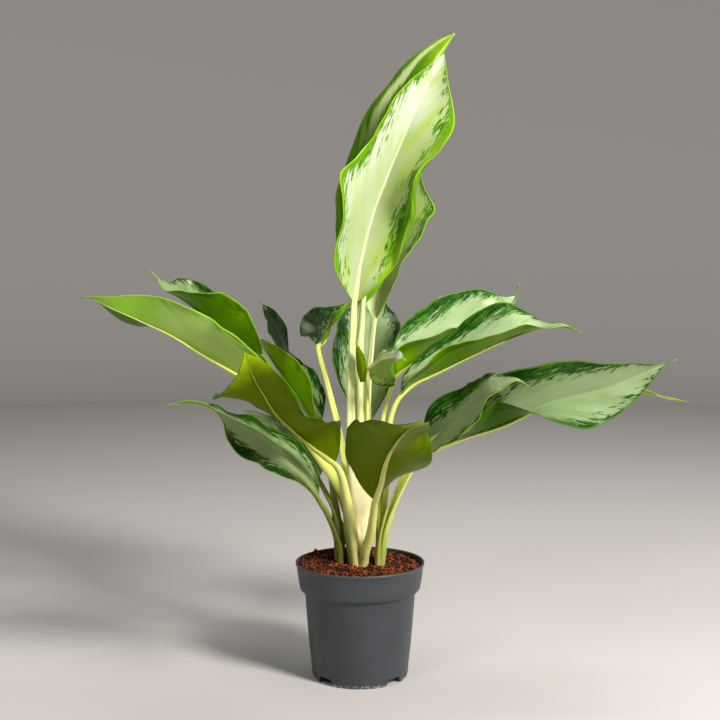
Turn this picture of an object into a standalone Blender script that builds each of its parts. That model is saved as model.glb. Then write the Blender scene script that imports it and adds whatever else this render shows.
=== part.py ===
"""Potted Chinese evergreen (Aglaonema): a nursery pot, its soil, three leafy stems and their blades.

Standalone script for Blender 4.5. Metres, +Z up, the origin at the middle of the pot's foot, and the
plant's front towards -Y. Sizes below are in millimetres, which MM turns into metres.
"""

import math

import bmesh
import bpy
from mathutils import Vector

MM = 0.001
GAP = 0.3  # between pieces that touch, so that their meshes stay clear of each other

# The pot: a 12 cm nursery pot, blow-thin, with a deep collar under its rim
POT_HEIGHT = 107.6
RIM_RADIUS = 60.0
COLLAR_RADIUS = 56.2
COLLAR_DEPTH = 27.0
SHOULDER_RADIUS = 51.4
FOOT_RADIUS = 44.5
WALL = 1.4
FLOOR = 2.0
LIP = 0.9
POT_STEPS = 48
NOTCHES = 4
NOTCH_WIDTH = 20.0
NOTCH_TOP_WIDTH = 15.0
NOTCH_HEIGHT = 6.5
NOTCH_REACH = 8.0
DRAIN_HOLES = 6
DRAIN_RADIUS = 4.0
DRAIN_CIRCLE = 24.0

# The soil: loose coir, a little mounded round the stems
SOIL_EDGE = 102.2
SOIL_MOUND = 2.4
SOIL_CRUMB = 1.0
SOIL_RINGS = 8
SOIL_STEPS = 40
SOIL_CHAMFER = 9.0

# The blades and stalks
BLADE_THICK = 0.8
RIB_THICK = 2.2
TIP_HALF_WIDTH = 0.9
BASE_HALF_WIDTH = 2.6
BLADE_ROWS = 16
BLADE_COLUMNS = 6
STALK_SIDES = 2
STALK_POINTS = 12
BEND = 5.0  # how far from its end a stalk turns into line with the midrib
JOIN_GAP = 0.8  # between a stalk's end and its blade
YOUNG = ("leaf_top_front", "leaf_top_rolled", "leaf_top_back")  # the newest, palest leaves
ROOT_BOTTOM = 70.0

# Each stem's foot in the soil: where its middle stands and its radius
STEMS = {
    "stem_left": (-19.0, 1.0, 6.0),
    "stem_centre": (-0.5, -4.0, 10.6),
    "stem_right": (18.5, -1.0, 6.0),
}


def side(lift, widest=0.4, curl=12, ripple=(1.2, 4.5, 0.0), full=1.0, sweep=(0, 0)):
    """One half of a blade: how far it lifts from flat at even steps from base to tip and curls to
    its margin, in degrees; where it is widest; its margin's ripple (height, waves, start); its
    share of the blade's half width; and how far its margin sweeps out or in, at even steps, as a
    share of that."""
    return {
        "lift": lift, "widest": widest, "curl": curl, "ripple": ripple, "full": full, "sweep": sweep,
    }


# Each leaf: its stem; the stalk's way from the foot to the blade (x, y, z, radius); the midrib's way
# from there to the tip; the half width when flat; the share of the length that is a thin tail at the
# tip, if any; which way the upper face looks, at even steps; and the two halves, left and right as
# seen on the upper face with the tip up.
LEAVES = {
    "leaf_top_front": {
        "stem": "stem_centre",
        "stalk": [
            (-4, -3, 98, 4.4), (-5, -2, 140, 5.0), (-7, -1, 190, 4.2), (-8.5, 0, 258, 3.1),
            (-5, 0, 348, 2.9),
        ],
        "rib": [(-5, 0, 348), (0, 2, 379), (9, 6, 418), (21, 10, 453), (48, 14, 517), (77, 18, 575)],
        "half": 43,
        "face": [(0.1, -1, 0), (0, -1, 0), (-0.1, -1, 0.1)],
        "left": side(
            [30, 20, 38, 32, 44, 50, 45], widest=0.45,
            sweep=(0, 0.18, -0.02, -0.12, 0.05, 0.22, 0, -0.16, -0.05, 0.12, 0.12, 0.05, 0),
        ),
        "right": side(
            [30, 5, 15, 38, 22, 0, 0], widest=0.45, curl=15, full=1.1,
            sweep=(0, 0, 0, 0, 0, 0, 0, 0, 0.08, 0.24, 0.22, 0.05, 0),
        ),
    },
    "leaf_top_rolled": {
        "stem": "stem_centre",
        "stalk": [
            (0, 0, 98, 4.8), (-2, 5, 150, 5.6), (-3, 8, 200, 5.4), (-3, 9, 270, 4.6),
            (3, 16, 347, 2.6),
        ],
        "rib": [
            (3, 16, 347), (6, 24, 385), (8, 32, 424), (15, 38, 471), (30, 40, 518), (50, 38, 555),
            (71, 34, 581), (88, 30, 596),
        ],
        "half": 43,
        "face": [(0.3, 1, 0), (0.3, 1, 0), (0.4, 1, 0)],
        "left": side([10, 5, 0, 0, 0, 10, 20], full=0.75),
        "right": side([20, 20, 15, 20, 20, 15, -20], widest=0.38, curl=15),
    },
    "leaf_top_back": {
        "stem": "stem_centre",
        "stalk": [
            (3.5, -2, 98, 4.4), (3.7, -1.4, 108, 4.4), (6, 5, 135, 4.6), (7, 12, 205, 3.2),
            (8, 17, 269, 2.5), (14, 30, 332, 2.3),
        ],
        "rib": [
            (14, 30, 332), (22, 46, 367), (32, 62, 411), (46, 74, 458), (60, 80, 495),
            (70, 82, 520),
        ],
        "half": 38,
        "face": [(0, -1, 0.4), (0, -1, 0.3), (0, -1, 0.2)],
        "left": side([10, 5, 0, 0, 0, 0, 0], full=0.8),
        "right": side(
            [55, 60, 48, 30, 20, 20, 20],
            sweep=(0, 0, 0, 0, 0, 0.04, 0.02, 0.08, -0.3, -0.55, -0.5, -0.3, 0),
        ),
    },
    "leaf_back": {
        "stem": "stem_centre",
        "stalk": [
            (1, 1, 98, 3.6), (1, 1.5, 108, 3.6), (3, 18, 140, 3.6), (4, 34, 190, 3.0),
            (5, 44, 230, 2.4),
        ],
        "rib": [
            (5, 44, 230), (6, 62, 261), (8, 94, 298), (10, 128, 331), (12, 160, 352),
            (13, 178, 360),
        ],
        "half": 37,
        "face": [(0, -1, 0.8), (0, -0.7, 1), (0, -0.6, 1)],
        "left": side([35, 30, 16, 24, 0, -15, 0], curl=8),
        "right": side([35, 35, 30, 24, 0, -15, 0], curl=8),
    },
    "leaf_back_left": {
        "stem": "stem_centre",
        "stalk": [
            (-3.4, 0.4, 98, 3.6), (-3.5, 0.6, 108, 3.6), (-8, 18, 145, 3.4), (-14, 30, 194, 3.0),
            (-23, 42, 236, 2.6), (-39, 58, 304, 2.2),
        ],
        "rib": [
            (-39, 58, 304), (-34, 74, 311), (-32, 96, 318), (-28, 126, 323), (-22, 156, 327),
            (-15, 180, 334), (-8, 200, 344),
        ],
        "half": 34,
        "face": [(0.1, -0.4, 1), (0.1, -0.4, 1), (0.1, -0.3, 1)],
        "left": side(
            [14, -12, 6, 24, 32, 28, 10], widest=0.33, full=0.84,
            sweep=(0, 0, 0, -0.03, -0.12, -0.16, -0.06, 0),
        ),
        "right": side([35, 52, 38, 35, 40, 55, 60], curl=70, full=0.6),
    },
    "leaf_right_high": {
        "stem": "stem_right",
        "stalk": [
            (17.3, 1, 98, 3.4), (17.3, 1, 108, 3.4), (19, 10, 140, 3.4), (22, 24, 190, 3.0),
            (21, 34, 235, 2.8), (36, 46, 277, 2.4),
        ],
        "rib": [
            (36, 46, 277), (53, 54, 291), (78, 68, 307), (108, 88, 323), (142, 112, 337),
            (158, 124, 350), (161, 126, 364),
        ],
        "half": 40,
        "tail": 0.07,
        "face": [(-0.5, -0.4, 0.8), (-0.3, -0.5, 0.9), (-0.2, -0.5, 0.9)],
        "left": side([40, 40, 30, 25, 35, 50, 0], sweep=(0, 0, 0.02, 0.08, 0.18, 0.24, 0.14, 0)),
        "right": side([110, 48, 30, 30, 30, 30, 20]),
    },
    "leaf_right_mid": {
        "stem": "stem_right",
        "stalk": [
            (17, -2, 98, 3.6), (17, -2, 110, 3.6), (20, 0, 140, 3.4), (25, 0, 192, 3.4),
            (27, -8, 240, 3.2), (38, -12, 265, 2.8),
        ],
        "rib": [
            (38, -12, 265), (50, -12, 276), (73, -12, 287), (108, -12, 304), (141, -10, 318),
            (176, -8, 328), (203, -6, 321),
        ],
        "half": 41,
        "tail": 0.05,
        "face": [(-0.4, -0.3, 0.8), (-0.3, -0.3, 0.9), (0, -0.4, 0.9)],
        "left": side([0, 10, 12, 20, 35, -15, 10], sweep=(0, 0, 0, 0.04, 0.14, 0.2, 0.1, 0)),
        "right": side([25, 35, 40, 32, 34, 15, 40]),
    },
    "leaf_right_long": {
        "stem": "stem_right",
        "stalk": [
            (18, -3, 98, 3.8), (18, -3, 108, 3.8), (24, -7, 142, 3.8), (30, -10, 165, 3.8),
            (43, -17, 196, 3.4), (63, -24, 214, 2.8),
        ],
        "rib": [
            (63, -24, 214), (92, -30, 228), (130, -36, 241), (172, -40, 261), (221, -42, 275),
            (269, -42, 295), (281, -42, 299),
        ],
        "half": 43,
        "tail": 0.04,
        "face": [(-0.3, -0.3, 0.9), (-0.2, -0.8, 0.5), (-0.1, -1, 0.1)],
        "left": side([-20, -10, 38, 50, 45, 45, 50]),
        "right": side([30, 35, 72, 30, 0, -5, 0]),
    },
    "leaf_right_front": {
        "stem": "stem_right",
        "stalk": [
            (20, -3, 98, 3.2), (20, -3.5, 108, 3.2), (24, -10, 138, 3.0), (33, -17, 168, 2.8),
            (46, -29, 198, 2.6), (58, -38, 221, 2.4),
        ],
        "rib": [
            (58, -38, 221), (71, -52, 237), (84, -68, 254), (97, -82, 267), (109, -94, 280),
            (122, -102, 286), (132, -106, 287), (141, -108, 282),
        ],
        "half": 30,
        "tail": 0.05,
        "face": [(-0.3, -0.8, 0.6), (-0.3, -0.8, 0.6), (-0.2, -0.8, 0.6)],
        "left": side([0, 10, -18, -28, -30, -40, -50]),
        "right": side([0, 22, 15, 8, 15, 20, 40]),
    },
    "leaf_right_back": {
        "stem": "stem_right",
        "stalk": [
            (20, 1, 98, 3.2), (20.5, 1, 108, 3.2), (28, 10, 150, 3.0), (45, 18, 190, 2.8),
            (80, 24, 222, 2.4),
        ],
        "rib": [
            (80, 24, 222), (112, 24, 238), (168, 22, 254), (223, 18, 262), (265, 14, 264),
            (291, 8, 258), (304, 8, 256),
        ],
        "half": 34,
        "tail": 0.11,
        "face": [(0, -0.3, 1), (0, -0.3, 1), (0, 0.6, 1)],
        "left": side([20, 20, 20, 20, 20, 10, 10]),
        "right": side([20, 20, 20, 20, 20, 10, 10]),
    },
    "leaf_centre_small": {
        "stem": "stem_centre",
        "stalk": [(3, -6, 98, 3.4), (4, -6, 160, 3.4), (6, -7, 240, 2.6), (8, -8, 287.6, 1.6)],
        "rib": [(8, -8, 288), (16, -20, 296), (26, -32, 300), (34, -43, 302), (40, -52, 299)],
        "half": 20,
        "tail": 0.06,
        "face": [(-0.3, -0.3, 1), (-0.3, -0.3, 1), (-0.3, -0.3, 1)],
        "left": side([10, 20, 25, 20, 20, 20, 20], full=0.6),
        "right": side([-50, -75, -88, -85, -60, -20, 0], widest=0.34, curl=10, full=1.35),
    },
    "leaf_front": {
        "stem": "stem_centre",
        "stalk": [
            (2.5, -10, 98, 3.8), (2.8, -10.4, 107, 3.8), (5, -16, 120, 3.9), (10, -26, 140, 3.6),
            (14, -48, 174, 3.0),
        ],
        "rib": [
            (14, -48, 174), (18, -64, 191), (22, -98, 215), (26, -130, 232), (32, -162, 247),
            (38, -192, 258), (43, -216, 265), (47, -230, 268),
        ],
        "half": 42,
        "tail": 0.04,
        "face": [(-0.2, 0.4, 1), (-0.1, 0.4, 1), (0, 0.4, 1)],
        "left": side([35, 4, -8, 12, 18, 10, 0], widest=0.36, sweep=(0, 0, -0.1, -0.12, 0, 0)),
        "right": side([40, 36, 38, 36, 20, 4, -20], widest=0.36),
    },
    "leaf_left_front": {
        "stem": "stem_centre",
        "stalk": [
            (-4.5, -9, 98, 3.9), (-4.8, -9.5, 108, 3.9), (-6, -14, 130, 4.0), (-9, -17, 153, 3.9),
            (-16, -27, 190, 3.4), (-24, -34, 205, 2.8),
        ],
        "rib": [
            (-24, -34, 205), (-42, -52, 223), (-57, -78, 241), (-70, -106, 259), (-78, -134, 278),
            (-84, -158, 293), (-88, -180, 309), (-89, -190, 316),
        ],
        "half": 42,
        "face": [(0, 0.4, 1), (0.2, 0.4, 1), (0.2, 0.4, 1)],
        "left": side([30, 28, 5, -10, -15, 15, 40]),
        "right": side(
            [20, 30, 25, 10, -15, -50, -80], widest=0.6,
            sweep=(0, 0, 0, 0, 0, 0, 0, 0, 0, 0, 0.02, -0.46, -0.8),
        ),
    },
    "leaf_left_long": {
        "stem": "stem_centre",
        "stalk": [
            (-6, -4, 98, 4.4), (-6.2, -4, 108, 4.4), (-10, -1, 134, 5.0), (-12, 4, 160, 5.0),
            (-22, 6, 181, 4.8), (-65, 2, 241, 3.2),
        ],
        "rib": [
            (-65, 2, 241), (-90, -2, 268), (-110, -6, 282), (-144, -8, 302), (-171, -11, 319),
            (-198, -14, 332), (-225, -16, 344), (-242, -16, 353), (-253, -16, 353),
        ],
        "half": 42,
        "tail": 0.04,
        "face": [(0, 0.5, 0.8), (0, 0.65, 0.75), (0, 0.65, 0.75)],
        "left": side([35, 15, 2, 2, 20, 44, 0], sweep=(-0.6, -0.5, -0.25, 0, 0, 0, 0, 0, 0)),
        "right": side(
            [20, 24, 34, 42, 40, 10, 20], ripple=(3, 3, 0.5),
            sweep=(0, 0, 0, 0, 0, 0, 0, 0, -0.1, -0.1, 0.1, 0.4, 0),
        ),
    },
    "leaf_left_high": {
        "stem": "stem_centre",
        "stalk": [
            (-5, -1, 98, 4.0), (-5, 0, 109, 4.0), (-12, 6, 150, 3.8), (-30, 8, 195, 3.4),
            (-58, 8, 238, 3.0), (-76, 17, 268, 2.8), (-93, 34, 297, 2.6),
        ],
        "rib": [
            (-93, 34, 297), (-120, 33, 314), (-144, 31, 334), (-170, 29, 353), (-182, 28, 359),
            (-189, 27, 369), (-196, 26, 377),
        ],
        "half": 38,
        "tail": 0.06,
        "face": [(0.3, 0.2, 0.9), (0.3, 0.1, 0.9), (0.3, 0.1, 0.9)],
        "left": side([20, 34, 40, 35, 15, -10, -30]),
        "right": side([40, 40, 38, 36, 50, 50, 30]),
    },
    "leaf_left_inner": {
        "stem": "stem_left",
        "stalk": [
            (-17.5, 2.4, 98, 3.2), (-17.5, 2.6, 108, 3.2), (-20, 16, 140, 3.2),
            (-27, 24, 180, 3.0), (-40, 30, 232, 2.6),
        ],
        "rib": [
            (-40, 30, 232), (-51, 40, 245), (-63, 54, 261), (-78, 72, 279), (-92, 94, 296),
            (-105, 114, 308),
        ],
        "half": 36,
        "face": [(0.6, 0.1, 0.8), (0.6, -0.2, 0.8), (0.3, -0.2, 1)],
        "left": side([25, 55, 72, 75, 70, 45, 10], full=0.62),
        "right": side([5, 12, 18, 20, 15, 10, 20]),
    },
    "leaf_left_back": {
        "stem": "stem_left",
        "stalk": [
            (-20.4, 1.4, 98, 3.2), (-20.4, 1.4, 108, 3.2), (-24, 34, 145, 3.0),
            (-32, 76, 192, 2.6), (-52, 120, 235, 2.4),
        ],
        "rib": [
            (-52, 120, 235), (-65, 136, 269), (-76, 148, 292), (-86, 162, 314), (-98, 176, 332),
            (-107, 186, 344),
        ],
        "half": 30,
        "tail": 0.05,
        "face": [(1, -0.3, 0.5), (1, -0.3, 0.5), (1, -0.3, 0.5)],
        "left": side([-10, -5, 0, -5, -10, -10, -20]),
        "right": side([-20, -20, -15, -15, -15, 15, 35], widest=0.55),
    },
    "leaf_left_low": {
        "stem": "stem_left",
        "stalk": [
            (-18, -1, 98, 3.6), (-18, -2, 109, 3.6), (-19, -4, 121, 3.6), (-24, -8, 140, 3.2),
            (-31, -13, 157, 3.0), (-38, -17, 169, 2.6),
        ],
        "rib": [
            (-38, -17, 169), (-50, -26, 190), (-65, -38, 210), (-84, -50, 228), (-103, -62, 243),
            (-122, -72, 257), (-134, -76, 262), (-148, -80, 265), (-168, -84, 263),
        ],
        "half": 38,
        "tail": 0.05,
        "face": [
            (0.5, -0.4, 0.8), (0.5, -0.4, 0.8), (0.5, -0.4, 0.8), (0.5, -0.4, 0.8),
            (0.4, -0.3, 0.9), (0.2, 0.25, 1), (0.1, 0.35, 1),
        ],
        "left": side([15, 10, 0, -15, -22, 0, 0]),
        "right": side([5, 8, -10, -20, -20, 0, 0]),
    },
    "leaf_left_low_back": {
        "stem": "stem_left",
        "stalk": [
            (-20, 1, 98, 3.2), (-19, 1, 109, 3.2), (-17, 5, 133, 3.0), (-25, 11, 156, 2.8),
            (-40, 24, 182, 2.4),
        ],
        "rib": [
            (-40, 24, 182), (-50, 40, 196), (-68, 62, 213), (-89, 82, 224), (-105, 94, 233),
            (-117, 102, 236),
        ],
        "half": 28,
        "face": [(0.5, -0.3, 0.8), (0.5, -0.3, 0.8), (0.5, -0.3, 0.8)],
        "left": side([20, 20, 20, 20, 20, 20, 20]),
        "right": side([20, 20, 20, 20, 20, 20, 20], full=0.65),
    },
}


def clear_scene():
    for old in list(bpy.data.objects):
        bpy.data.objects.remove(old, do_unlink=True)


def make_collection(name):
    collection = bpy.data.collections.new(name)
    bpy.context.scene.collection.children.link(collection)
    return collection


def make_material(name, colour, roughness):
    material = bpy.data.materials.new(name)
    material.use_nodes = True
    shader = material.node_tree.nodes["Principled BSDF"]
    shader.inputs["Base Color"].default_value = (*colour, 1)
    shader.inputs["Roughness"].default_value = roughness
    shader.inputs["Metallic"].default_value = 0
    return material


def object_from(bm, name, collection, material):
    mesh = bpy.data.meshes.new(name)
    bm.to_mesh(mesh)
    bm.free()
    mesh.shade_smooth()
    mesh.materials.append(material)
    made = bpy.data.objects.new(name, mesh)
    collection.objects.link(made)
    return made


def hide_as_cutter(cutter):
    cutter.hide_render = True
    cutter.display_type = "WIRE"


def boolean(target, operation, other=None, collection=None):
    modifier = target.modifiers.new(operation.title(), "BOOLEAN")
    modifier.operation = operation
    modifier.solver = "EXACT"
    if collection:
        modifier.operand_type = "COLLECTION"
        modifier.collection = collection
    else:
        modifier.object = other
    return modifier


def along(stations, t):
    """The smooth curve through stations, tuples or numbers an even step apart, at t from 0 to 1."""
    place = min(max(t, 0), 1) * (len(stations) - 1)
    here = min(int(place), len(stations) - 2)
    f = place - here
    before, start, end, after = (
        Vector(stations[min(max(here + step, 0), len(stations) - 1)]) for step in (-1, 0, 1, 2)
    )
    return 0.5 * (
        2 * start
        + (end - before) * f
        + (2 * before - 5 * start + 4 * end - after) * f * f
        + (3 * start - before - 3 * end + after) * f**3
    )


def evenly_spaced(points, count):
    """The curve through points, read at count places an even length apart."""
    fine = [along(points, i / 200) for i in range(201)]
    reach = [0.0]
    for a, b in zip(fine, fine[1:]):
        reach.append(reach[-1] + (Vector(b[:3]) - Vector(a[:3])).length)
    spaced = []
    i = 0
    for n in range(count):
        wanted = reach[-1] * n / (count - 1)
        while i < len(fine) - 2 and reach[i + 1] < wanted:
            i += 1
        step = (wanted - reach[i]) / (reach[i + 1] - reach[i])
        spaced.append(fine[i].lerp(fine[i + 1], step))
    return spaced


def half_width(leaf, half, t):
    """The flat width of one half at t: round-shouldered near the stalk and drawn out to a fine tail."""
    widest = half["widest"]
    body = min(t / (1 - leaf.get("tail", 0)), 1)
    share = (body / widest) ** (1.7 * widest) * ((1 - body) / (1 - widest)) ** (1.7 * (1 - widest))
    least = BASE_HALF_WIDTH + (TIP_HALF_WIDTH - BASE_HALF_WIDTH) * t
    return max(leaf["half"] * half["full"] * share * (1 + value_at(half["sweep"], t)), least)


def value_at(numbers, t):
    return along([(n, 0, 0) for n in numbers], t).x


def blade_point(leaf, rib, t, across):
    """A point of the blade at t from base to tip and across from the left margin, -1, to the right, 1."""
    place = t * (len(rib) - 1)
    here = min(int(place), len(rib) - 2)
    middle = rib[here].lerp(rib[here + 1], place - here)
    ahead = rib[min(here + 2, len(rib) - 1)] - rib[max(here - 1, 0)]
    ahead.normalize()
    up = along(leaf["face"], t)
    up = (up - ahead * up.dot(ahead)).normalized()
    out = ahead.cross(up)
    half = leaf["right"] if across > 0 else leaf["left"]
    reach = abs(across)
    if across < 0:
        out = -out
    lift = math.radians(value_at(half["lift"], t))
    curl = math.radians(half["curl"])
    width = half_width(leaf, half, t)
    flat = (math.sin(lift + curl * reach) - math.sin(lift)) / curl
    rise = (math.cos(lift) - math.cos(lift + curl * reach)) / curl
    height, waves, start = half["ripple"]
    wave = height * reach**2 * math.sin(math.tau * (waves * t + start)) * math.sin(math.pi * t) ** 0.5
    turn = lift + curl * reach
    flat = flat * width - wave * math.sin(turn)
    rise = rise * width + wave * math.cos(turn)
    return middle + out * flat + up * rise


def make_blade(name, leaf, collection, material):
    """A grid laid on the blade's surface, split into triangles and given its thickness."""
    rib = evenly_spaced(leaf["rib"], 60)
    rib[0] = rib[0] + (rib[1] - rib[0]).normalized() * JOIN_GAP
    bm = bmesh.new()
    bmesh.ops.create_grid(bm, x_segments=BLADE_COLUMNS, y_segments=BLADE_ROWS, size=1)
    deform = bm.verts.layers.deform.new()
    for vert in bm.verts:
        across, t = vert.co.x, (vert.co.y + 1) / 2
        across = math.copysign(abs(across) ** 1.25, across)
        thick = BLADE_THICK + (RIB_THICK - BLADE_THICK) * (1 - abs(across)) ** 4 * (1 - t)
        vert[deform][0] = thick / RIB_THICK
        vert.co = blade_point(leaf, rib, min(t, 0.999), across) * MM
    bmesh.ops.triangulate(bm, faces=bm.faces)
    blade = object_from(bm, name, collection, material)
    blade.vertex_groups.new(name="thickness")
    solid = blade.modifiers.new("Thickness", "SOLIDIFY")
    solid.thickness = RIB_THICK * MM
    solid.offset = 0
    solid.vertex_group = "thickness"
    return blade


def stalk_way(leaf):
    """The stalk's points, with one more that bends its end into line with the midrib."""
    rib = evenly_spaced(leaf["rib"], 60)
    end = leaf["stalk"][-1]
    bend = rib[0] - (rib[2] - rib[0]).normalized() * BEND
    return [*leaf["stalk"][:-1], (*bend, end[3]), end]


def make_tube(name, points, collection, material):
    """A stalk as a bevelled curve through points (x, y, z, radius), then made a mesh to be fused."""
    curve = bpy.data.curves.new(name, "CURVE")
    curve.dimensions = "3D"
    curve.bevel_depth = MM
    curve.bevel_resolution = STALK_SIDES
    curve.use_fill_caps = True
    spline = curve.splines.new("POLY")
    spaced = evenly_spaced(points, STALK_POINTS)
    spline.points.add(len(spaced) - 1)
    for point, (x, y, z, radius) in zip(spline.points, spaced):
        point.co = (x * MM, y * MM, z * MM, 1)
        point.radius = radius
    guide = bpy.data.objects.new(name + "_way", curve)
    collection.objects.link(guide)
    bpy.context.view_layer.update()
    mesh = bpy.data.meshes.new_from_object(guide.evaluated_get(bpy.context.evaluated_depsgraph_get()))
    bpy.data.objects.remove(guide)
    bm = bmesh.new()
    bm.from_mesh(mesh)
    bpy.data.meshes.remove(mesh)
    bmesh.ops.remove_doubles(bm, verts=bm.verts, dist=1e-6)
    bmesh.ops.recalc_face_normals(bm, faces=bm.faces)
    return object_from(bm, name, collection, material)


def make_stem(name, collection, material):
    """A short cane that stands in the soil, with its leaves' stalks fused to it."""
    x, y, radius = STEMS[name]
    top = SOIL_EDGE + SOIL_MOUND + 2
    bm = bmesh.new()
    bmesh.ops.create_cone(
        bm, cap_ends=True, segments=20, radius1=radius * 0.9 * MM, radius2=(radius - 0.6) * MM,
        depth=(top - ROOT_BOTTOM) * MM,
    )
    bmesh.ops.translate(bm, verts=bm.verts, vec=Vector((x, y, (top + ROOT_BOTTOM) / 2)) * MM)
    stem = object_from(bm, name, collection, material)
    stalks = bpy.data.collections.new(name + "_stalks")
    bpy.context.scene.collection.children.link(stalks)
    for leaf_name, leaf in LEAVES.items():
        if leaf["stem"] == name:
            make_tube(leaf_name + "_stalk", stalk_way(leaf), stalks, material)
    fuse(stem, stalks)
    return stem


def fuse(target, members):
    """Unites the collection's objects with the target, applies it, and removes them."""
    boolean(target, "UNION", collection=members)
    bpy.context.view_layer.update()
    fused = bpy.data.meshes.new_from_object(target.evaluated_get(bpy.context.evaluated_depsgraph_get()))
    target.modifiers.clear()
    target.data = fused
    for member in list(members.objects):
        bpy.data.objects.remove(member)
    bpy.data.collections.remove(members)


def turned(name, profile, steps, collection, material):
    """A solid of revolution about Z from a profile of (radius, height), inner side first."""
    bm = bmesh.new()
    verts = [bm.verts.new((r * MM, 0, z * MM)) for r, z in profile]
    for a, b in zip(verts, verts[1:]):
        bm.edges.new((a, b))
    solid = object_from(bm, name, collection, material)
    screw = solid.modifiers.new("Turn", "SCREW")
    screw.steps = steps
    screw.render_steps = steps
    screw.use_merge_vertices = True
    screw.merge_threshold = 1e-5
    return solid


def inner_wall():
    """The inside of the pot from its floor up, as (radius, height)."""
    shoulder = POT_HEIGHT - COLLAR_DEPTH
    return [
        (FOOT_RADIUS - WALL - 2.0, FLOOR),
        (FOOT_RADIUS - WALL - 0.4, FLOOR + 2.0),
        (SHOULDER_RADIUS - WALL, shoulder + WALL),
        (COLLAR_RADIUS - WALL, shoulder + WALL + 1.8),
        (RIM_RADIUS - LIP - WALL, POT_HEIGHT - 1.0),
    ]


def outer_wall():
    """The outside of the pot from its rim down."""
    shoulder = POT_HEIGHT - COLLAR_DEPTH
    return [
        (RIM_RADIUS - LIP - WALL * 0.6, POT_HEIGHT - 0.2),
        (RIM_RADIUS - LIP * 0.8, POT_HEIGHT),
        (RIM_RADIUS, POT_HEIGHT - 0.7),
        (RIM_RADIUS, POT_HEIGHT - 1.9),
        (RIM_RADIUS - LIP, POT_HEIGHT - 2.6),
        (COLLAR_RADIUS + 0.2, shoulder + 4.6),
        (COLLAR_RADIUS - 0.5, shoulder + 2.4),
        (COLLAR_RADIUS - 2.0, shoulder + 0.6),
        (SHOULDER_RADIUS + 0.9, shoulder),
        (SHOULDER_RADIUS, shoulder - 1.2),
        (FOOT_RADIUS + 0.8, 9.0),
        (FOOT_RADIUS - 0.1, 1.6),
        (FOOT_RADIUS - 1.4, 0.0),
    ]


def make_notch(index, collection, material):
    """A tapered block that cuts one drain slot out of the corner of wall and floor."""
    bm = bmesh.new()
    bmesh.ops.create_cube(bm, size=1)
    for vert in bm.verts:
        above = vert.co.z > 0
        vert.co.y *= NOTCH_TOP_WIDTH if above else NOTCH_WIDTH
        vert.co.x = FOOT_RADIUS + (6 if vert.co.x > 0 else -NOTCH_REACH)
        vert.co.z = NOTCH_HEIGHT if above else -1
        vert.co *= MM
    notch = object_from(bm, f"notch_{index}", collection, material)
    notch.rotation_euler.z = math.tau * (index + 0.5) / NOTCHES
    hide_as_cutter(notch)
    return notch


def make_drain(index, collection, material):
    bm = bmesh.new()
    bmesh.ops.create_cone(
        bm, cap_ends=True, segments=12, radius1=DRAIN_RADIUS * MM, radius2=DRAIN_RADIUS * MM,
        depth=FLOOR * 4 * MM,
    )
    drain = object_from(bm, f"drain_{index}", collection, material)
    turn = math.tau * index / DRAIN_HOLES
    drain.location = (DRAIN_CIRCLE * math.cos(turn) * MM, DRAIN_CIRCLE * math.sin(turn) * MM, 0)
    hide_as_cutter(drain)
    return drain


def make_pot(parts, cutters, material):
    profile = [(0, FLOOR), *inner_wall(), *outer_wall(), (0, 0)]
    pot = turned("pot", profile, POT_STEPS, parts, material)
    for index in range(NOTCHES):
        boolean(pot, "DIFFERENCE", make_notch(index, cutters, material))
    for index in range(DRAIN_HOLES):
        boolean(pot, "DIFFERENCE", make_drain(index, cutters, material))
    return pot


def crumbs(x, y):
    """The height of the loose surface's lumps at a place in millimetres."""
    lumps = math.sin(x * 0.45 + 1.3 * math.sin(y * 0.31)) * math.cos(y * 0.52 + 0.8 * math.sin(x * 0.23))
    return SOIL_CRUMB * (lumps + 0.5 * math.sin(x * 1.1 + y * 0.9))


def make_soil(parts, cutters, material):
    """The root ball that fills the pot: its sides follow the wall, and its top is crumbly."""
    wall = [(r - GAP, z) for r, z in inner_wall()[2:4]]
    edge = wall[-1][0] + (SOIL_EDGE - wall[-1][1]) * (RIM_RADIUS - LIP - COLLAR_RADIUS) / (COLLAR_DEPTH - 4.2)
    steps = [i / SOIL_RINGS for i in range(SOIL_RINGS + 1)]
    top = [(edge * step, SOIL_EDGE + SOIL_MOUND * (1 - step**2)) for step in steps]
    floor = FLOOR + GAP
    below = [(FOOT_RADIUS - WALL - SOIL_CHAMFER, floor), (0, floor)]
    corner = (FOOT_RADIUS - WALL - GAP - 0.2, floor + SOIL_CHAMFER)
    soil = turned("soil", [*top, *reversed(wall), corner, *below], SOIL_STEPS, parts, material)
    bpy.context.view_layer.update()
    solid = bpy.data.meshes.new_from_object(soil.evaluated_get(bpy.context.evaluated_depsgraph_get()))
    soil.modifiers.clear()
    soil.data = solid
    for vert in solid.vertices:
        x, y, z = (n / MM for n in vert.co)
        inside = 1 - (math.hypot(x, y) / edge) ** 6
        if z > SOIL_EDGE - 0.5 and inside > 0.01:
            vert.co.z += crumbs(x, y) * inside * MM
    hole_bottom = ROOT_BOTTOM - GAP
    hole_top = SOIL_EDGE + 15
    for name, (x, y, radius) in STEMS.items():
        bm = bmesh.new()
        bmesh.ops.create_cone(
            bm, cap_ends=True, segments=24, radius1=(radius + GAP) * MM, radius2=(radius + GAP) * MM,
            depth=(hole_top - hole_bottom) * MM,
        )
        hole = object_from(bm, name + "_hole", cutters, material)
        hole.location = Vector((x, y, (hole_bottom + hole_top) / 2)) * MM
        hide_as_cutter(hole)
        boolean(soil, "DIFFERENCE", hole)
    return soil


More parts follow.
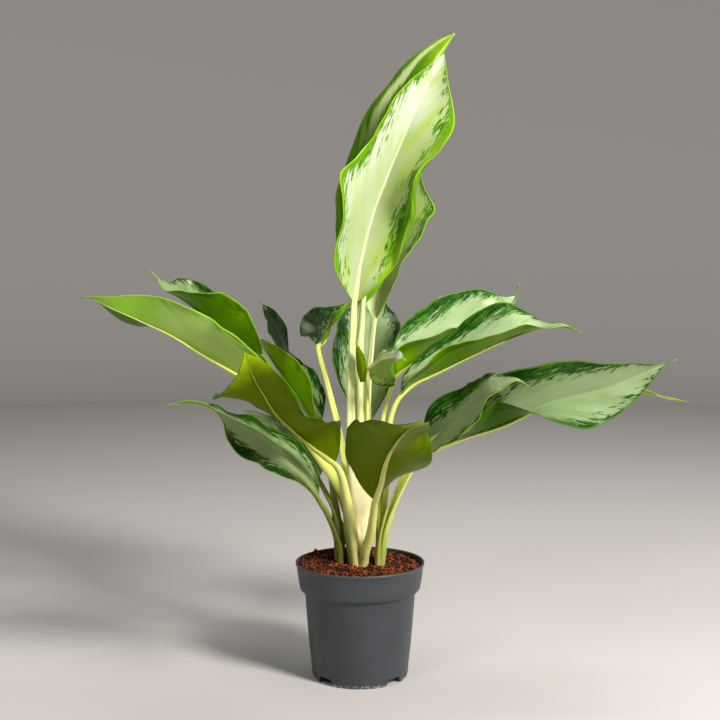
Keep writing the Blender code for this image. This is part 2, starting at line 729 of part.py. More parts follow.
def make_plant():
    clear_scene()
    parts = make_collection("potted_chinese_evergreen")
    cutters = make_collection("cutters")
    plastic = make_material("pot_plastic", (0.065, 0.075, 0.085), 0.55)
    coir = make_material("coir_soil", (0.13, 0.045, 0.02), 0.95)
    stalk = make_material("stalk_green", (0.55, 0.62, 0.24), 0.45)
    green = make_material("leaf_green", (0.16, 0.33, 0.07), 0.38)
    cream = make_material("leaf_cream", (0.58, 0.69, 0.28), 0.38)
    make_pot(parts, cutters, plastic)
    make_soil(parts, cutters, coir)
    for name in STEMS:
        make_stem(name, parts, stalk)
    for name, leaf in LEAVES.items():
        make_blade(name, leaf, parts, cream if name in YOUNG else green)


make_plant()
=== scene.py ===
"""Potted Chinese evergreen: the visible pieces of the nursery pot, coir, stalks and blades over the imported
frame, with the floor, light and camera. Lengths are in millimetres until MM turns them into metres."""

import math
import random

import bmesh
import bpy
from mathutils import Euler, Matrix, Vector, noise


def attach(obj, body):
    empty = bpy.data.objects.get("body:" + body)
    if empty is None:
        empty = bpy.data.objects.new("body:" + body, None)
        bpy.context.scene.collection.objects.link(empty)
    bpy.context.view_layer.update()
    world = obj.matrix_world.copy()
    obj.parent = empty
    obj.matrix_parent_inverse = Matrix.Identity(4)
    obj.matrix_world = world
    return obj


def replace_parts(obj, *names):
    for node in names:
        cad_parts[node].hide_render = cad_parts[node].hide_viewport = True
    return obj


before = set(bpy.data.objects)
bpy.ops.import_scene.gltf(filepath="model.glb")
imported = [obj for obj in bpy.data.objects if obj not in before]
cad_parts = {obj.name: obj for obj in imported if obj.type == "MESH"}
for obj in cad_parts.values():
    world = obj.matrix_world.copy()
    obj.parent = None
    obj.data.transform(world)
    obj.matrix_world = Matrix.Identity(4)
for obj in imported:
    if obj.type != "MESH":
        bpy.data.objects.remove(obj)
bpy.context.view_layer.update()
MM = 0.001

# Stage: a pale floor that turns up into a pale wall all round, three soft lamps and an even sky.
# The camera stands 1.15 m in front of the pot's middle, a little above the soil, and looks slightly down.


def tone(red, green, blue):
    """A colour as read off a screen, 0 to 255, turned into the shader's linear light."""
    light = (c / 255 / 12.92 if c <= 10 else ((c / 255 + 0.055) / 1.055) ** 2.4 for c in (red, green, blue))
    return (*light, 1)


def new_finish(name, roughness, gloss=0.5, tint=(1, 1, 1, 1)):
    finish = bpy.data.materials.new(name)
    finish.use_nodes = True
    shader = finish.node_tree.nodes["Principled BSDF"]
    shader.inputs["Roughness"].default_value = roughness
    shader.inputs["Specular IOR Level"].default_value = gloss
    shader.inputs["Specular Tint"].default_value = tint
    return finish, finish.node_tree, shader


def object_from(bm, name, *finishes):
    mesh = bpy.data.meshes.new(name)
    bm.to_mesh(mesh)
    bm.free()
    mesh.shade_smooth()
    for finish in finishes:
        mesh.materials.append(finish)
    made = bpy.data.objects.new(name, mesh)
    bpy.context.scene.collection.objects.link(made)
    return made


def turned(profile, steps):
    """A bmesh turned full circle about Z from a profile of (radius, height) in millimetres."""
    bm = bmesh.new()
    verts = [bm.verts.new((r * MM, 0, z * MM)) for r, z in profile]
    edges = [bm.edges.new(pair) for pair in zip(verts, verts[1:])]
    bmesh.ops.spin(
        bm, geom=verts + edges, cent=(0, 0, 0), axis=(0, 0, 1), angle=math.tau, steps=steps, use_merge=True,
    )
    bmesh.ops.remove_doubles(bm, verts=bm.verts, dist=1e-6)
    bmesh.ops.recalc_face_normals(bm, faces=bm.faces)
    return bm


FLOOR_REACH = 2400
COVE = 900
WALL_TOP = 4200

paper, tree, shader = new_finish("pale_paper", 0.9)
shader.inputs["Base Color"].default_value = tone(206, 200, 195)
cove = [(math.sin(a / 12 * math.pi / 2), 1 - math.cos(a / 12 * math.pi / 2)) for a in range(13)]
wall_profile = [(FLOOR_REACH, 0)]
wall_profile += [(FLOOR_REACH + COVE * x, COVE * z) for x, z in cove]
wall_profile += [(FLOOR_REACH + COVE, WALL_TOP)]
floor = object_from(turned([(0, 0), (600, 0), (FLOOR_REACH, 0)], 96), "floor", paper)
wall = object_from(turned(wall_profile, 96), "wall", paper)
for surface in (floor, wall):
    for face in surface.data.polygons:
        inward = Vector((0, 0, 1)) if surface is floor else Vector((0, 0, 1.2)) - face.center
        if face.normal.dot(inward) < 0:
            face.flip()
    surface.data.update()
wall.visible_shadow = False
wall.visible_diffuse = False
wall.visible_glossy = False

CAMERA_DIP = 4.51
scene = bpy.context.scene
camera = bpy.data.objects.new("camera", bpy.data.cameras.new("camera"))
camera.location = (0, -1.150, 0.386)
camera.rotation_euler = (math.radians(90 - CAMERA_DIP), 0, 0)
camera.data.lens = 62.7
camera.data.sensor_width = 36
scene.collection.objects.link(camera)
scene.camera = camera


def soft_lamp(name, place, aim, size, power, colour=(1, 1, 1)):
    lamp = bpy.data.objects.new(name, bpy.data.lights.new(name, "AREA"))
    lamp.data.shape = "DISK"
    lamp.data.size = size
    lamp.data.energy = power
    lamp.data.color = colour
    lamp.location = place
    lamp.rotation_euler = (Vector(aim) - Vector(place)).to_track_quat("-Z", "Y").to_euler()
    lamp.visible_camera = False
    scene.collection.objects.link(lamp)


soft_lamp("key", (1.2, -1.2, 1.3), (0.05, 0, 0.35), 0.5, 58, (1, 0.99, 0.975))
soft_lamp("fill", (-0.8, -1.2, 1.5), (0, 0, 0.4), 0.5, 6, (0.97, 0.985, 1))
soft_lamp("top", (0.2, 0.4, 1.8), (0, 0, 0.3), 0.8, 9)
sky = bpy.data.worlds.new("sky")
sky.use_nodes = True
backdrop = sky.node_tree.nodes["Background"]
backdrop.inputs["Color"].default_value = (1, 0.99, 0.975, 1)
backdrop.inputs["Strength"].default_value = 0.165
scene.world = sky
scene.view_settings.view_transform = "Standard"

# Pot: one thin-walled nursery pot, moulded in matt slate-grey polypropylene with a rolled rim and a deep
# collar. Four drain slots are cut through the corner of wall and floor, and six holes through the floor.
POT_HEIGHT = 107.6
RIM_RADIUS = 60.0
COLLAR_RADIUS = 56.2
COLLAR_DEPTH = 27.0
SHOULDER_RADIUS = 51.4
FOOT_RADIUS = 44.5
WALL = 1.4
FLOOR = 2.0
LIP = 0.9
POT_STEPS = 160
NOTCH_WIDTH = 20.0
NOTCH_TOP_WIDTH = 15.0
NOTCH_HEIGHT = 6.5
NOTCH_REACH = 8.0
NOTCH_CLEAR = 6.0
NOTCH_ROUND = 1.2
DRAIN_RADIUS = 4.0
DRAIN_CIRCLE = 24.0
SHOULDER = POT_HEIGHT - COLLAR_DEPTH


def corner(radius, height, *offsets):
    """Profile points round one corner of the pot: (radius, height), each set off from the corner."""
    return [(radius + r, height + z) for r, z in offsets]


pot_inside = [
    *corner(FOOT_RADIUS - WALL, FLOOR, (-3.4, 0), (-2.0, 0.2), (-0.9, 0.9), (-0.4, 2.0)),
    (46.2, 30), (48.4, 58), *corner(SHOULDER_RADIUS - WALL, SHOULDER + WALL, (0, 0), (1.0, 0.8)),
    *corner(COLLAR_RADIUS - WALL, SHOULDER + WALL, (-0.8, 1.8), (0, 3.2)),
    *corner(RIM_RADIUS - LIP - WALL, POT_HEIGHT, (-1.5, -11.6), (0, -1.2), (0.1, -0.6)),
]
pot_outside = [
    *corner(
        RIM_RADIUS, POT_HEIGHT, (-LIP - WALL * 0.6, -0.15), (-LIP * 0.9, 0), (-LIP * 0.3, -0.15),
        (-0.05, -0.6), (0, -1.2), (-0.1, -1.8), (-LIP * 0.6, -2.3), (-LIP, -2.9), (-LIP - 0.9, -10),
    ),
    (57.2, 90),
    *corner(COLLAR_RADIUS, SHOULDER, (0.2, 4.8), (-0.1, 3.2), (-0.8, 1.9), (-1.9, 0.9), (-3.2, 0.35)),
    *corner(SHOULDER_RADIUS, SHOULDER, (0.7, 0.1), (0.15, -0.4), (-0.05, -1.4)), (49.9, 60), (47.7, 32),
    *corner(FOOT_RADIUS, 0, (1.0, 12.0), (0.5, 5.0), (-0.05, 1.8), (-0.5, 0.6), (-1.4, 0.0)),
]


def step(tree, kind, feeds=None, **settings):
    """One shader node. Feeds go to its inputs by name or place: numbers, colours or other nodes' outputs."""
    made = tree.nodes.new("ShaderNode" + kind)
    for key, value in settings.items():
        setattr(made, key, value)
    for place, feed in (feeds or {}).items():
        if isinstance(feed, bpy.types.NodeSocket):
            tree.links.new(feed, made.inputs[place])
        else:
            made.inputs[place].default_value = feed
    return made


def paint_over(under, over, amount, strength=None):
    """Lays one colour over another, by an amount from 0 to 1 and a strength."""
    if strength is not None:
        amount = reckon("MULTIPLY", amount, strength)
    return step(amount.id_data, "Mix", {0: amount, 6: under, 7: over}, data_type="RGBA").outputs[2]


def reckon(operation, first, second=0.0, third=0.0):
    """A sum on a node's output, in that node's tree."""
    return step(first.id_data, "Math", {0: first, 1: second, 2: third}, operation=operation).outputs[0]


def fade(value, low, high):
    """0 below low, 1 above high, and smooth between. Low may be the greater."""
    feeds = {0: value, 1: min(low, high), 2: max(low, high), 3: float(low > high), 4: float(low < high)}
    return step(value.id_data, "MapRange", feeds, interpolation_type="SMOOTHSTEP").outputs[0]


def grain(place, scale, detail=3.0, roughness=0.55):
    feeds = {"Vector": place, "Scale": scale, "Detail": detail, "Roughness": roughness}
    return step(place.id_data, "TexNoise", feeds).outputs[0]


def stretched(place, amounts):
    return step(place.id_data, "VectorMath", {0: place, 1: amounts}, operation="MULTIPLY").outputs[0]


def dress(tree, shader, base, height, distance):
    """Gives a finish its colour, and its relief, of which the depth is in millimetres."""
    bump = step(tree, "Bump", {"Height": height, "Distance": distance * MM, "Strength": 1.0})
    tree.links.new(base, shader.inputs["Base Color"])
    tree.links.new(bump.outputs[0], shader.inputs["Normal"])


plastic, tree, shader = new_finish("pot_plastic", 0.5)
spot = step(tree, "TexCoord").outputs["Object"]
height = step(tree, "SeparateXYZ", {0: spot}).outputs[2]
cloud = grain(spot, 22, 4, 0.6)
rub = grain(stretched(spot, (1, 1, 3.5)), 60, 5, 0.7)
base = paint_over(tone(50, 54, 59), tone(56, 60, 65), fade(cloud, 0.4, 0.68))
dusty = reckon("MULTIPLY", fade(rub, 0.52, 0.72), fade(cloud, 0.45, 0.6))
base = paint_over(base, tone(96, 99, 101), dusty, 0.16)
low = fade(height, 0.0042, 0.0006)
scuff = reckon("MULTIPLY", fade(grain(spot, 420, 4, 0.7), 0.47, 0.6), low)
base = paint_over(base, tone(196, 192, 184), scuff, 0.8)
# Painted highlight: a lighter band round the top of the rolled rim, where the lip catches the light.
base = paint_over(base, tone(84, 89, 93), fade(height, 0.1048, 0.1062), 0.3)
tree.links.new(reckon("MULTIPLY_ADD", rub, 0.24, 0.32), shader.inputs["Roughness"])
dress(tree, shader, base, grain(spot, 900, 2, 0.5), 0.04)

pot = object_from(turned([(0, FLOOR), *pot_inside, *pot_outside, (0, 0)], POT_STEPS), "pot_shell", plastic)
cutters = []
for index in range(4):
    bm = bmesh.new()
    bmesh.ops.create_cube(bm, size=1)
    for vert in bm.verts:
        above = vert.co.z > 0
        vert.co.y *= NOTCH_TOP_WIDTH if above else NOTCH_WIDTH
        vert.co.x = FOOT_RADIUS + (NOTCH_CLEAR if vert.co.x > 0 else -NOTCH_REACH)
        vert.co.z = NOTCH_HEIGHT if above else -1
        vert.co *= MM
    corners = [edge for edge in bm.edges if all(vert.co.z > 0 for vert in edge.verts)]
    bmesh.ops.bevel(
        bm, geom=corners, offset=NOTCH_ROUND * MM, segments=3, profile=0.5, affect="EDGES", material=-1,
    )
    bmesh.ops.rotate(bm, verts=bm.verts, matrix=Matrix.Rotation(math.tau * (index + 0.5) / 4, 3, "Z"))
    cutters.append(object_from(bm, f"notch_{index}"))
for index in range(6):
    bm = bmesh.new()
    drain_at = Matrix.Rotation(math.tau * index / 6, 3, "Z") @ Vector((DRAIN_CIRCLE * MM, 0, 0))
    bmesh.ops.create_cone(
        bm, cap_ends=True, segments=32, radius1=DRAIN_RADIUS * MM, radius2=DRAIN_RADIUS * MM,
        depth=FLOOR * 4 * MM, matrix=Matrix.Translation(drain_at),
    )
    cutters.append(object_from(bm, f"drain_{index}"))
for cutter in cutters:
    cut = pot.modifiers.new("Cut", "BOOLEAN")
    cut.operation = "DIFFERENCE"
    cut.solver = "EXACT"
    cut.object = cutter
bpy.context.view_layer.update()
cut_pot = bpy.data.meshes.new_from_object(pot.evaluated_get(bpy.context.evaluated_depsgraph_get()))
pot.modifiers.clear()
pot.data = cut_pot
for cutter in cutters:
    bpy.data.objects.remove(cutter)
cut_pot.shade_smooth()
cut_pot.set_sharp_from_angle(angle=math.radians(50))
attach(pot, "root")
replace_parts(pot, "pot")

# Soil: the root ball of reddish-brown coir, pressed into the pot and a little mounded round the stems.
# Its loose top is a crumbled sheet with separate chips of husk and short fibres lying on it.
SOIL_EDGE = 102.2
SOIL_MOUND = 2.4
SOIL_WALL = 57.6
SOIL_RINGS = 62
SOIL_STEPS = 210
CHIPS = 3300
CHIP_SIZES = (0.4, 0.55, 0.7, 0.9, 1.5)
FIBRES = 700
random.seed(41)
noise.seed_set(41)

coir, tree, shader = new_finish("coir_soil", 0.95, 0.25)
spot = step(tree, "TexCoord").outputs["Object"]
patch = grain(spot, 130, 5, 0.7)
fleck = grain(spot, 620, 3, 0.6)
# Painted shade: the near-black tones of the crumbled sheet stand in for the shade in the gaps between the
# chips; the reddish flecks are the coir's own colour.
base = paint_over(tone(8, 3, 2), tone(38, 14, 7), fade(patch, 0.36, 0.62))
base = paint_over(base, tone(112, 58, 33), fade(fleck, 0.56, 0.7))
dress(tree, shader, base, fleck, 0.5)


def crumb_height(x, y):
    """How far the loose top rises at a place, in millimetres: big lumps, crumbs and fine grit."""
    place = Vector((x, y, 3.0))
    lumps = noise.noise(place / 14) * 2.2 + noise.noise(place / 6) * 2.4
    grit = abs(noise.noise(place / 2.6)) * 3.0 + noise.noise(place / 1.2) * 0.7
    heap = 0.9 + 4.2 * min(max((y - x * 0.8) / 62, 0), 1)
    return lumps + grit + heap


def mound_height(reach):
    """The plain top of the ball at a distance from the pot's middle."""
    return SOIL_EDGE - 1.0 + SOIL_MOUND * (1 - (reach / SOIL_WALL) ** 2)


wall_side = [
    (FOOT_RADIUS - WALL - 9, FLOOR + 0.3), (FOOT_RADIUS - WALL - 0.5, FLOOR + 9.3),
    (SHOULDER_RADIUS - WALL - 0.5, SHOULDER + 1.2), (COLLAR_RADIUS - WALL - 0.6, SHOULDER + 3.4),
    (SOIL_WALL - 1.2, SOIL_EDGE - 2.0),
]
top_steps = [(SOIL_WALL - 0.7) * (1 - i / SOIL_RINGS) for i in range(SOIL_RINGS)]
soil_top = [(r, mound_height(r)) for r in top_steps]
bm = turned([(0, FLOOR + 0.3), *wall_side, *soil_top, (0, mound_height(0))], SOIL_STEPS)
for vert in bm.verts:
    x, y, z = (n / MM for n in vert.co)
    reach = math.hypot(x, y)
    if z > SOIL_EDGE - 1.8:
        vert.co.z += crumb_height(x, y) * min(1, (SOIL_WALL - reach) / 3) * MM
soil = object_from(bm, "soil_ball", coir)
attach(soil, "root")
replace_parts(soil, "soil")

husk, tree, shader = new_finish("coir_chips", 0.9, 0.3)
spot = step(tree, "TexCoord").outputs["Object"]
batch = grain(spot, 420, 2, 0.5)
fibre = grain(stretched(spot, (1, 1, 0.3)), 1500, 3, 0.6)
base = paint_over(tone(26, 9, 4), tone(176, 84, 36), fade(batch, 0.42, 0.62))
base = paint_over(base, tone(226, 140, 76), fade(fibre, 0.58, 0.72), 0.5)
dress(tree, shader, base, fibre, 0.15)


def scattered(margin, sink, lift):
    """A random place on the crumbled top, no nearer to the pot's wall than the margin."""
    reach = (SOIL_WALL - margin) * math.sqrt(random.random())
    turn = random.uniform(0, math.tau)
    x, y = reach * math.cos(turn), reach * math.sin(turn)
    z = mound_height(reach) + crumb_height(x, y) * sink + lift
    return Matrix.Scale(MM, 4) @ Matrix.Translation((x, y, z))


def tilted(lean, swing):
    """A random lean each way, within bounds in radians, and a random heading."""
    lean = random.uniform(-lean, lean) if lean else 0
    return Euler((lean, random.uniform(-swing, swing), random.uniform(0, math.tau))).to_matrix().to_4x4()


chips = bmesh.new()
for n in range(CHIPS):
    place = scattered(1.6, 0.9, 0.35)
    size = random.choice(CHIP_SIZES) * random.uniform(0.8, 1.2)
    sides = [size * random.uniform(*bounds) for bounds in ((1, 2.4), (0.5, 0.9), (0.3, 0.6))]
    lay = place @ tilted(0.9, 0.9) @ Matrix.Diagonal((*sides, 1))
    bmesh.ops.create_icosphere(chips, subdivisions=1, radius=1, matrix=lay)
for vert in chips.verts:
    vert.co += noise.noise_vector(vert.co * 1400) * 0.16 * MM
chip_pile = object_from(chips, "coir_chip_pile", husk)
chip_pile.data.shade_flat()
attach(chip_pile, "root")
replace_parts(chip_pile, "soil")

strands = bmesh.new()
for n in range(FIBRES):
    place = scattered(3, 1, 0.55)
    shape = Matrix.Diagonal((random.uniform(1.4, 4.2), random.uniform(0.12, 0.22), 0.12, 1))
    lay = place @ tilted(0, 0.35) @ shape @ Matrix.Rotation(math.pi / 2, 4, "Y")
    bmesh.ops.create_cone(strands, cap_ends=True, segments=4, radius1=1, radius2=0.7, depth=2, matrix=lay)
strand_pile = object_from(strands, "coir_fibre_pile", husk)
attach(strand_pile, "root")
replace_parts(strand_pile, "soil")

# Stem feet: the short canes that each group of stalks grows from. Only their rounded tops show, brown
# and scarred, between the stalks where they leave the coir.
ROOT_BOTTOM = 72.0

cane, tree, shader = new_finish("cane_bark", 0.8)
spot = step(tree, "TexCoord").outputs["Object"]
bark = grain(stretched(spot, (1, 1, 3)), 260, 4, 0.65)
base = paint_over(tone(66, 40, 22), tone(128, 116, 60), fade(bark, 0.4, 0.68))
dress(tree, shader, base, bark, 0.5)

for stem, (x, y, radius) in {
    "stem_left": (-19.0, 1.0, 5.4), "stem_centre": (-0.5, -4.0, 9.4), "stem_right": (18.5, -1.0, 5.4),
}.items():
    bm = turned([
        (0, ROOT_BOTTOM), (radius * 0.9, ROOT_BOTTOM), (radius, 88), (radius * 0.98, 99),
        (radius * 0.9, 101.8), (radius * 0.7, 103.4), (radius * 0.4, 104.3), (0, 104.6),
    ], 40)
    for vert in bm.verts:
        vert.co += Vector((x, y, 0)) * MM + noise.noise_vector(vert.co * 300) * 0.4 * MM
    foot = object_from(bm, stem + "_foot", cane)
    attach(foot, "root")
    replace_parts(foot, stem)

# Top leaves: the three newest, pale cream-green and still half rolled, on upright stalks that rise from
# one another's sheaths. A stalk is a grooved leaf stem, and its lower part is a thin channelled sheath.
BLADE_THICK = 0.55
TIP_HALF_WIDTH = 0.35
BASE_HALF_WIDTH = 2.6
BLADE_ROWS = 104
BLADE_COLUMNS = 44
CURVE_STEPS = 200
RIB_POINTS = 60
VEIN_SPACING = 8.4
STALK_ROWS = 84
STALK_SIDES = 28
KEEL_ROWS = 88
BEND = 5.0
HEM_START = 0.8
HEM_STEPS = 14
NO_HEM = ([0], [0])
USUAL_SILVER = ([0.65], [0.65])
USUAL_WING = [0.0, 0.3, 0.2, 0.0]


def side(lift, widest=0.4, curl=12, ripple=(1.2, 4.5, 0.0), full=1.0, sweep=(0, 0)):
    """One half of a blade: how far it lifts from flat at even steps from base to tip and curls to
    its margin, in degrees; where it is widest; its margin's ripple (height, waves, start); its
    share of the blade's half width; and how far its margin sweeps out or in, at even steps, as a
    share of that."""
    return dict(lift=lift, widest=widest, curl=curl, ripple=ripple, full=full, sweep=sweep)


def along(stations, t):
    """The smooth curve through stations, tuples an even step apart, at t from 0 to 1."""
    place = min(max(t, 0), 1) * (len(stations) - 1)
    here = min(int(place), len(stations) - 2)
    f = place - here
    before, start, end, after = (
        Vector(stations[min(max(here + n, 0), len(stations) - 1)]) for n in (-1, 0, 1, 2)
    )
    return 0.5 * (
        2 * start
        + (end - before) * f
        + (2 * before - 5 * start + 4 * end - after) * f * f
        + (3 * start - before - 3 * end + after) * f**3
    )


def value_at(numbers, t):
    """The same smooth curve through plain numbers. One number stands for all of the way."""
    return along([(n, 0, 0) for n in numbers], t).x if len(numbers) > 1 else numbers[0]


def evenly_spaced(points, count):
    """The curve through points, read at count places an even length apart."""
    fine = [along(points, i / CURVE_STEPS) for i in range(CURVE_STEPS + 1)]
    reach = [0.0]
    for a, b in zip(fine, fine[1:]):
        reach.append(reach[-1] + (Vector(b[:3]) - Vector(a[:3])).length)
    spaced = []
    i = 0
    for n in range(count):
        wanted = reach[-1] * n / (count - 1)
        while i < len(fine) - 2 and reach[i + 1] < wanted:
            i += 1
        spaced.append(fine[i].lerp(fine[i + 1], (wanted - reach[i]) / (reach[i + 1] - reach[i])))
    return spaced


def half_width(leaf, half, t):
    """The flat width of one half at t: round-shouldered near the stalk and drawn out to a fine tail."""
    widest = half["widest"]
    body = min(t / (1 - leaf.get("tail", 0)), 1)
    share = (body / widest) ** (1.7 * widest) * ((1 - body) / (1 - widest)) ** (1.7 * (1 - widest))
    least = BASE_HALF_WIDTH + (TIP_HALF_WIDTH - BASE_HALF_WIDTH) * t
    return max(leaf["half"] * half["full"] * share * (1 + value_at(half["sweep"], t)), least)


def midrib_at(rib, t):
    place = t * (len(rib) - 1)
    here = min(int(place), len(rib) - 2)
    ahead = rib[min(here + 2, len(rib) - 1)] - rib[max(here - 1, 0)]
    return rib[here].lerp(rib[here + 1], place - here), ahead.normalized()


def blade_point(leaf, rib, t, across):
    """A point of the blade at t from base to tip and across from the left margin, -1, to the right, 1."""
    middle, ahead = midrib_at(rib, t)
    up = along(leaf["face"], t)
    up = (up - ahead * up.dot(ahead)).normalized()
    out = ahead.cross(up) * (1 if across > 0 else -1)
    half = leaf["right"] if across > 0 else leaf["left"]
    reach = abs(across)
    lift = math.radians(value_at(half["lift"], t))
    curl = math.radians(half["curl"])
    width = half_width(leaf, half, t)
    roll = math.radians(value_at(leaf.get("hem", NO_HEM)[across > 0], t))
    flat = rise = 0.0
    for n in range(HEM_STEPS):
        place = reach * (n + 0.5) / HEM_STEPS
        turn = lift + curl * place + roll * max(0, (place - HEM_START) / (1 - HEM_START))
        flat += math.cos(turn) * reach / HEM_STEPS
        rise += math.sin(turn) * reach / HEM_STEPS
    height, waves, start = half["ripple"]
    wave = height * reach**2 * math.sin(math.tau * (waves * t + start)) * math.sin(math.pi * t) ** 0.5
    crimp = noise.noise(Vector((t * 15, across * 1.5, leaf["half"] + start)))
    crimp = crimp * 0.06 * leaf["half"] * reach**4 * math.sin(math.pi * t)
    flat = flat * width - (wave + crimp) * math.sin(turn)
    rise = rise * width + (wave + crimp) * math.cos(turn)
    return middle + out * flat + up * rise


def stalk_way(leaf):
    """The stalk's points, with one more that bends its end into line with the midrib."""
    rib = evenly_spaced(leaf["rib"], RIB_POINTS)
    end = leaf["stalk"][-1]
    bend = rib[0] - (rib[2] - rib[0]).normalized() * BEND
    return [*leaf["stalk"][:-1], (*bend, end[3]), end]


def lay_blade(name, leaf, upper, under, ending="_blade"):
    """A fine grid laid on the blade's surface, with its vein relief, midrib groove and thickness.
    The vein attribute holds (steps between veins, reach from the midrib in cm, leaf number), and the
    blade attribute (across, base to tip, depth into the dark margin in cm)."""
    rib = evenly_spaced(leaf["rib"], RIB_POINTS)
    length = sum((b - a).length for a, b in zip(rib, rib[1:]))
    bm = bmesh.new()
    bmesh.ops.create_grid(bm, x_segments=BLADE_COLUMNS, y_segments=BLADE_ROWS, size=1)
    vein = bm.verts.layers.float_vector.new("vein")
    blade = bm.verts.layers.float_vector.new("blade")
    number = leaf["half"] * 1.7 + leaf["rib"][0][0] * 0.31
    places = {}
    for vert in bm.verts:
        across, t = vert.co.x, min((vert.co.y + 1) / 2, 0.9995)
        half = leaf["right"] if across > 0 else leaf["left"]
        width = half_width(leaf, half, t)
        reach = abs(across) * width
        order = t * length - 1.2 * reach - 0.042 * reach**2
        silver = leaf.get("silver", USUAL_SILVER)[across > 0]
        depth = (abs(across) - value_at(silver, t)) * width
        vert[vein] = (order / VEIN_SPACING, math.copysign(reach / 10, across), number)
        vert[blade] = (across, t, depth / 10)
        places[vert] = (reach, t, order)
        vert.co = blade_point(leaf, rib, t, across) * MM
    bm.normal_update()
    for vert, (reach, t, order) in places.items():
        body = math.sin(math.pi * min(t * 1.04, 1)) ** 0.6 if t < 0.96 else 0
        quilt = 0.12 * math.cos(math.tau * order / VEIN_SPACING) * min(reach / 6, 1) * body
        groove = -0.55 * math.exp(-((reach / 1.5) ** 2)) * (1 - t)
        sway = noise.noise(vert.co * 42 + Vector((number, 0, 0))) * 0.9 * body
        vert.co += vert.normal * (quilt + groove + sway) * MM
    made = object_from(bm, name + ending, upper, under)
    solid = made.modifiers.new("Thickness", "SOLIDIFY")
    solid.thickness = BLADE_THICK * MM
    solid.offset = -1
    solid.material_offset = 1
    solid.material_offset_rim = 1
    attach(made, "root")
    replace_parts(made, name)
    return made


def tube_grid(rows, sides, place_of, name, finish):
    """A closed tube: a grid bent round until its edges meet, with both ends filled."""
    bm = bmesh.new()
    bmesh.ops.create_grid(bm, x_segments=sides, y_segments=rows, size=1)
    skin = bm.verts.layers.float_vector.new("skin")
    for vert in bm.verts:
        turn, t = vert.co.x * math.pi, (vert.co.y + 1) / 2
        vert.co, mark = place_of(turn, t)
        vert[skin] = mark
    bmesh.ops.remove_doubles(bm, verts=bm.verts, dist=2e-6)
    rims = [edge for edge in bm.edges if edge.is_boundary]
    bmesh.ops.holes_fill(bm, edges=rims, sides=0)
    bmesh.ops.recalc_face_normals(bm, faces=bm.faces)
    made = object_from(bm, name, finish)
    made.data.set_sharp_from_angle(angle=math.radians(60))
    return made


def cut_section(turn, wing, groove):
    """A point of the stalk's cut section, in radii: round behind, grooved in front, with a thin wing on
    each side of the groove."""
    c, s = math.cos(turn), math.sin(turn)
    edge = abs(c) ** 6
    return c * (1 + wing * edge), s * (1 - groove * s * s if s > 0 else 1) + wing * 0.5 * edge


def core_way(leaf):
    """Stations up the stalk and on under the midrib to near the tip: middle, radius, which way the groove
    faces, and wing. The bend where the blade begins is eased."""
    rib = evenly_spaced(leaf["rib"], RIB_POINTS)

    def spine_at(t):
        middle, ahead = midrib_at(rib, t)
        up = along(leaf["face"], t)
        up = (up - ahead * up.dot(ahead)).normalized()
        lean = math.radians(value_at(leaf["left"]["lift"], t) - value_at(leaf["right"]["lift"], t)) / 2
        return middle, up * math.cos(lean) + ahead.cross(up) * math.sin(lean)

    way = evenly_spaced(stalk_way(leaf), STALK_ROWS + 1)
    lean = Vector(way[-1][:3]) - Vector(way[0][:3])
    inward = Vector((-lean.x, -lean.y, 0))
    spine = spine_at(0)[1]
    stations = []
    for i, place in enumerate(way):
        t = i / STALK_ROWS
        open_way = inward.normalized().lerp(spine, min(t * 1.3, 1)) if inward.length > 14 else spine
        wing = value_at(leaf.get("wing", USUAL_WING), t)
        stations.append([Vector(place[:3]), place[3], open_way, wing, 1.0])
    radius = way[-1][3]
    for i in range(1, KEEL_ROWS + 1):
        t = i / KEEL_ROWS
        middle, spine = spine_at(t * leaf.get("keel", 0.94))
        r = (radius - 0.2) * (1 - t) ** 1.25 + 0.2
        ease = min(t / 0.16, 1)
        ease *= ease * (3 - 2 * ease)
        stations.append([middle - spine * (r * 0.42 + 0.85) * ease, r, spine, 0.0, 1 - 0.35 * ease])
    for n in range(10):
        spots = [station[0].copy() for station in stations]
        for i in range(STALK_ROWS - 12, STALK_ROWS + 10):
            stations[i][0] = (spots[i - 1] + spots[i + 1] + spots[i] * 2) / 4
    return stations


def lay_core(name, leaf, stations, first, last, finish):
    """One closed length of the stalk or midrib, from station first to station last. The skin attribute
    holds (x, y round it, distance along it in cm)."""
    number = leaf["half"] * 0.37

    def place_of(turn, t):
        i = first + round(t * (last - first))
        middle, r, open_way, wing, depth = stations[i]
        ahead = stations[min(i + 1, len(stations) - 1)][0] - stations[max(i - 1, 0)][0]
        ahead.normalize()
        open_way = (open_way - ahead * open_way.dot(ahead)).normalized()
        flank = ahead.cross(open_way)
        beyond = max(0, i - STALK_ROWS) / KEEL_ROWS
        groove = (0.42 + 0.5 * min(wing * 2, 1)) * max(0, 1 - beyond * 8)
        u, v = cut_section(turn, wing, groove)
        ridge = 1 + 0.018 * math.cos(turn * 9 + number)
        sway = noise.noise(middle / 16 + Vector((number, 0, 0))) * 0.3 * (1 - beyond)
        spot = middle + flank * (sway + u * r * ridge) + open_way * v * r * ridge * depth
        return spot * MM, (math.cos(turn) * r / 10, math.sin(turn) * r / 10, number * 9 + i * 0.2)

    made = tube_grid(last - first, STALK_SIDES, place_of, name, finish)
    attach(made, "root")
    return made


def lay_leaf(name, upper, under, stalk_skin, slot="leaf_green", stem="stem_centre", **leaf):
    """A whole leaf: its blade, the keel of its midrib, and its stalk, which meet without a step. What comes
    after its finishes is its shape: stations (x, y, z, radius) of the stalk and (x, y, z) of the midrib, the
    blade's half width, which way it faces at even steps, and both halves."""
    stations = core_way(leaf)
    lay_blade(name, leaf, upper, under)
    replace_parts(lay_core(name + "_midrib", leaf, stations, STALK_ROWS, len(stations) - 1, stalk_skin), name)
    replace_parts(lay_core(name + "_stalk", leaf, stations, 0, STALK_ROWS, stalk_skin), stem)


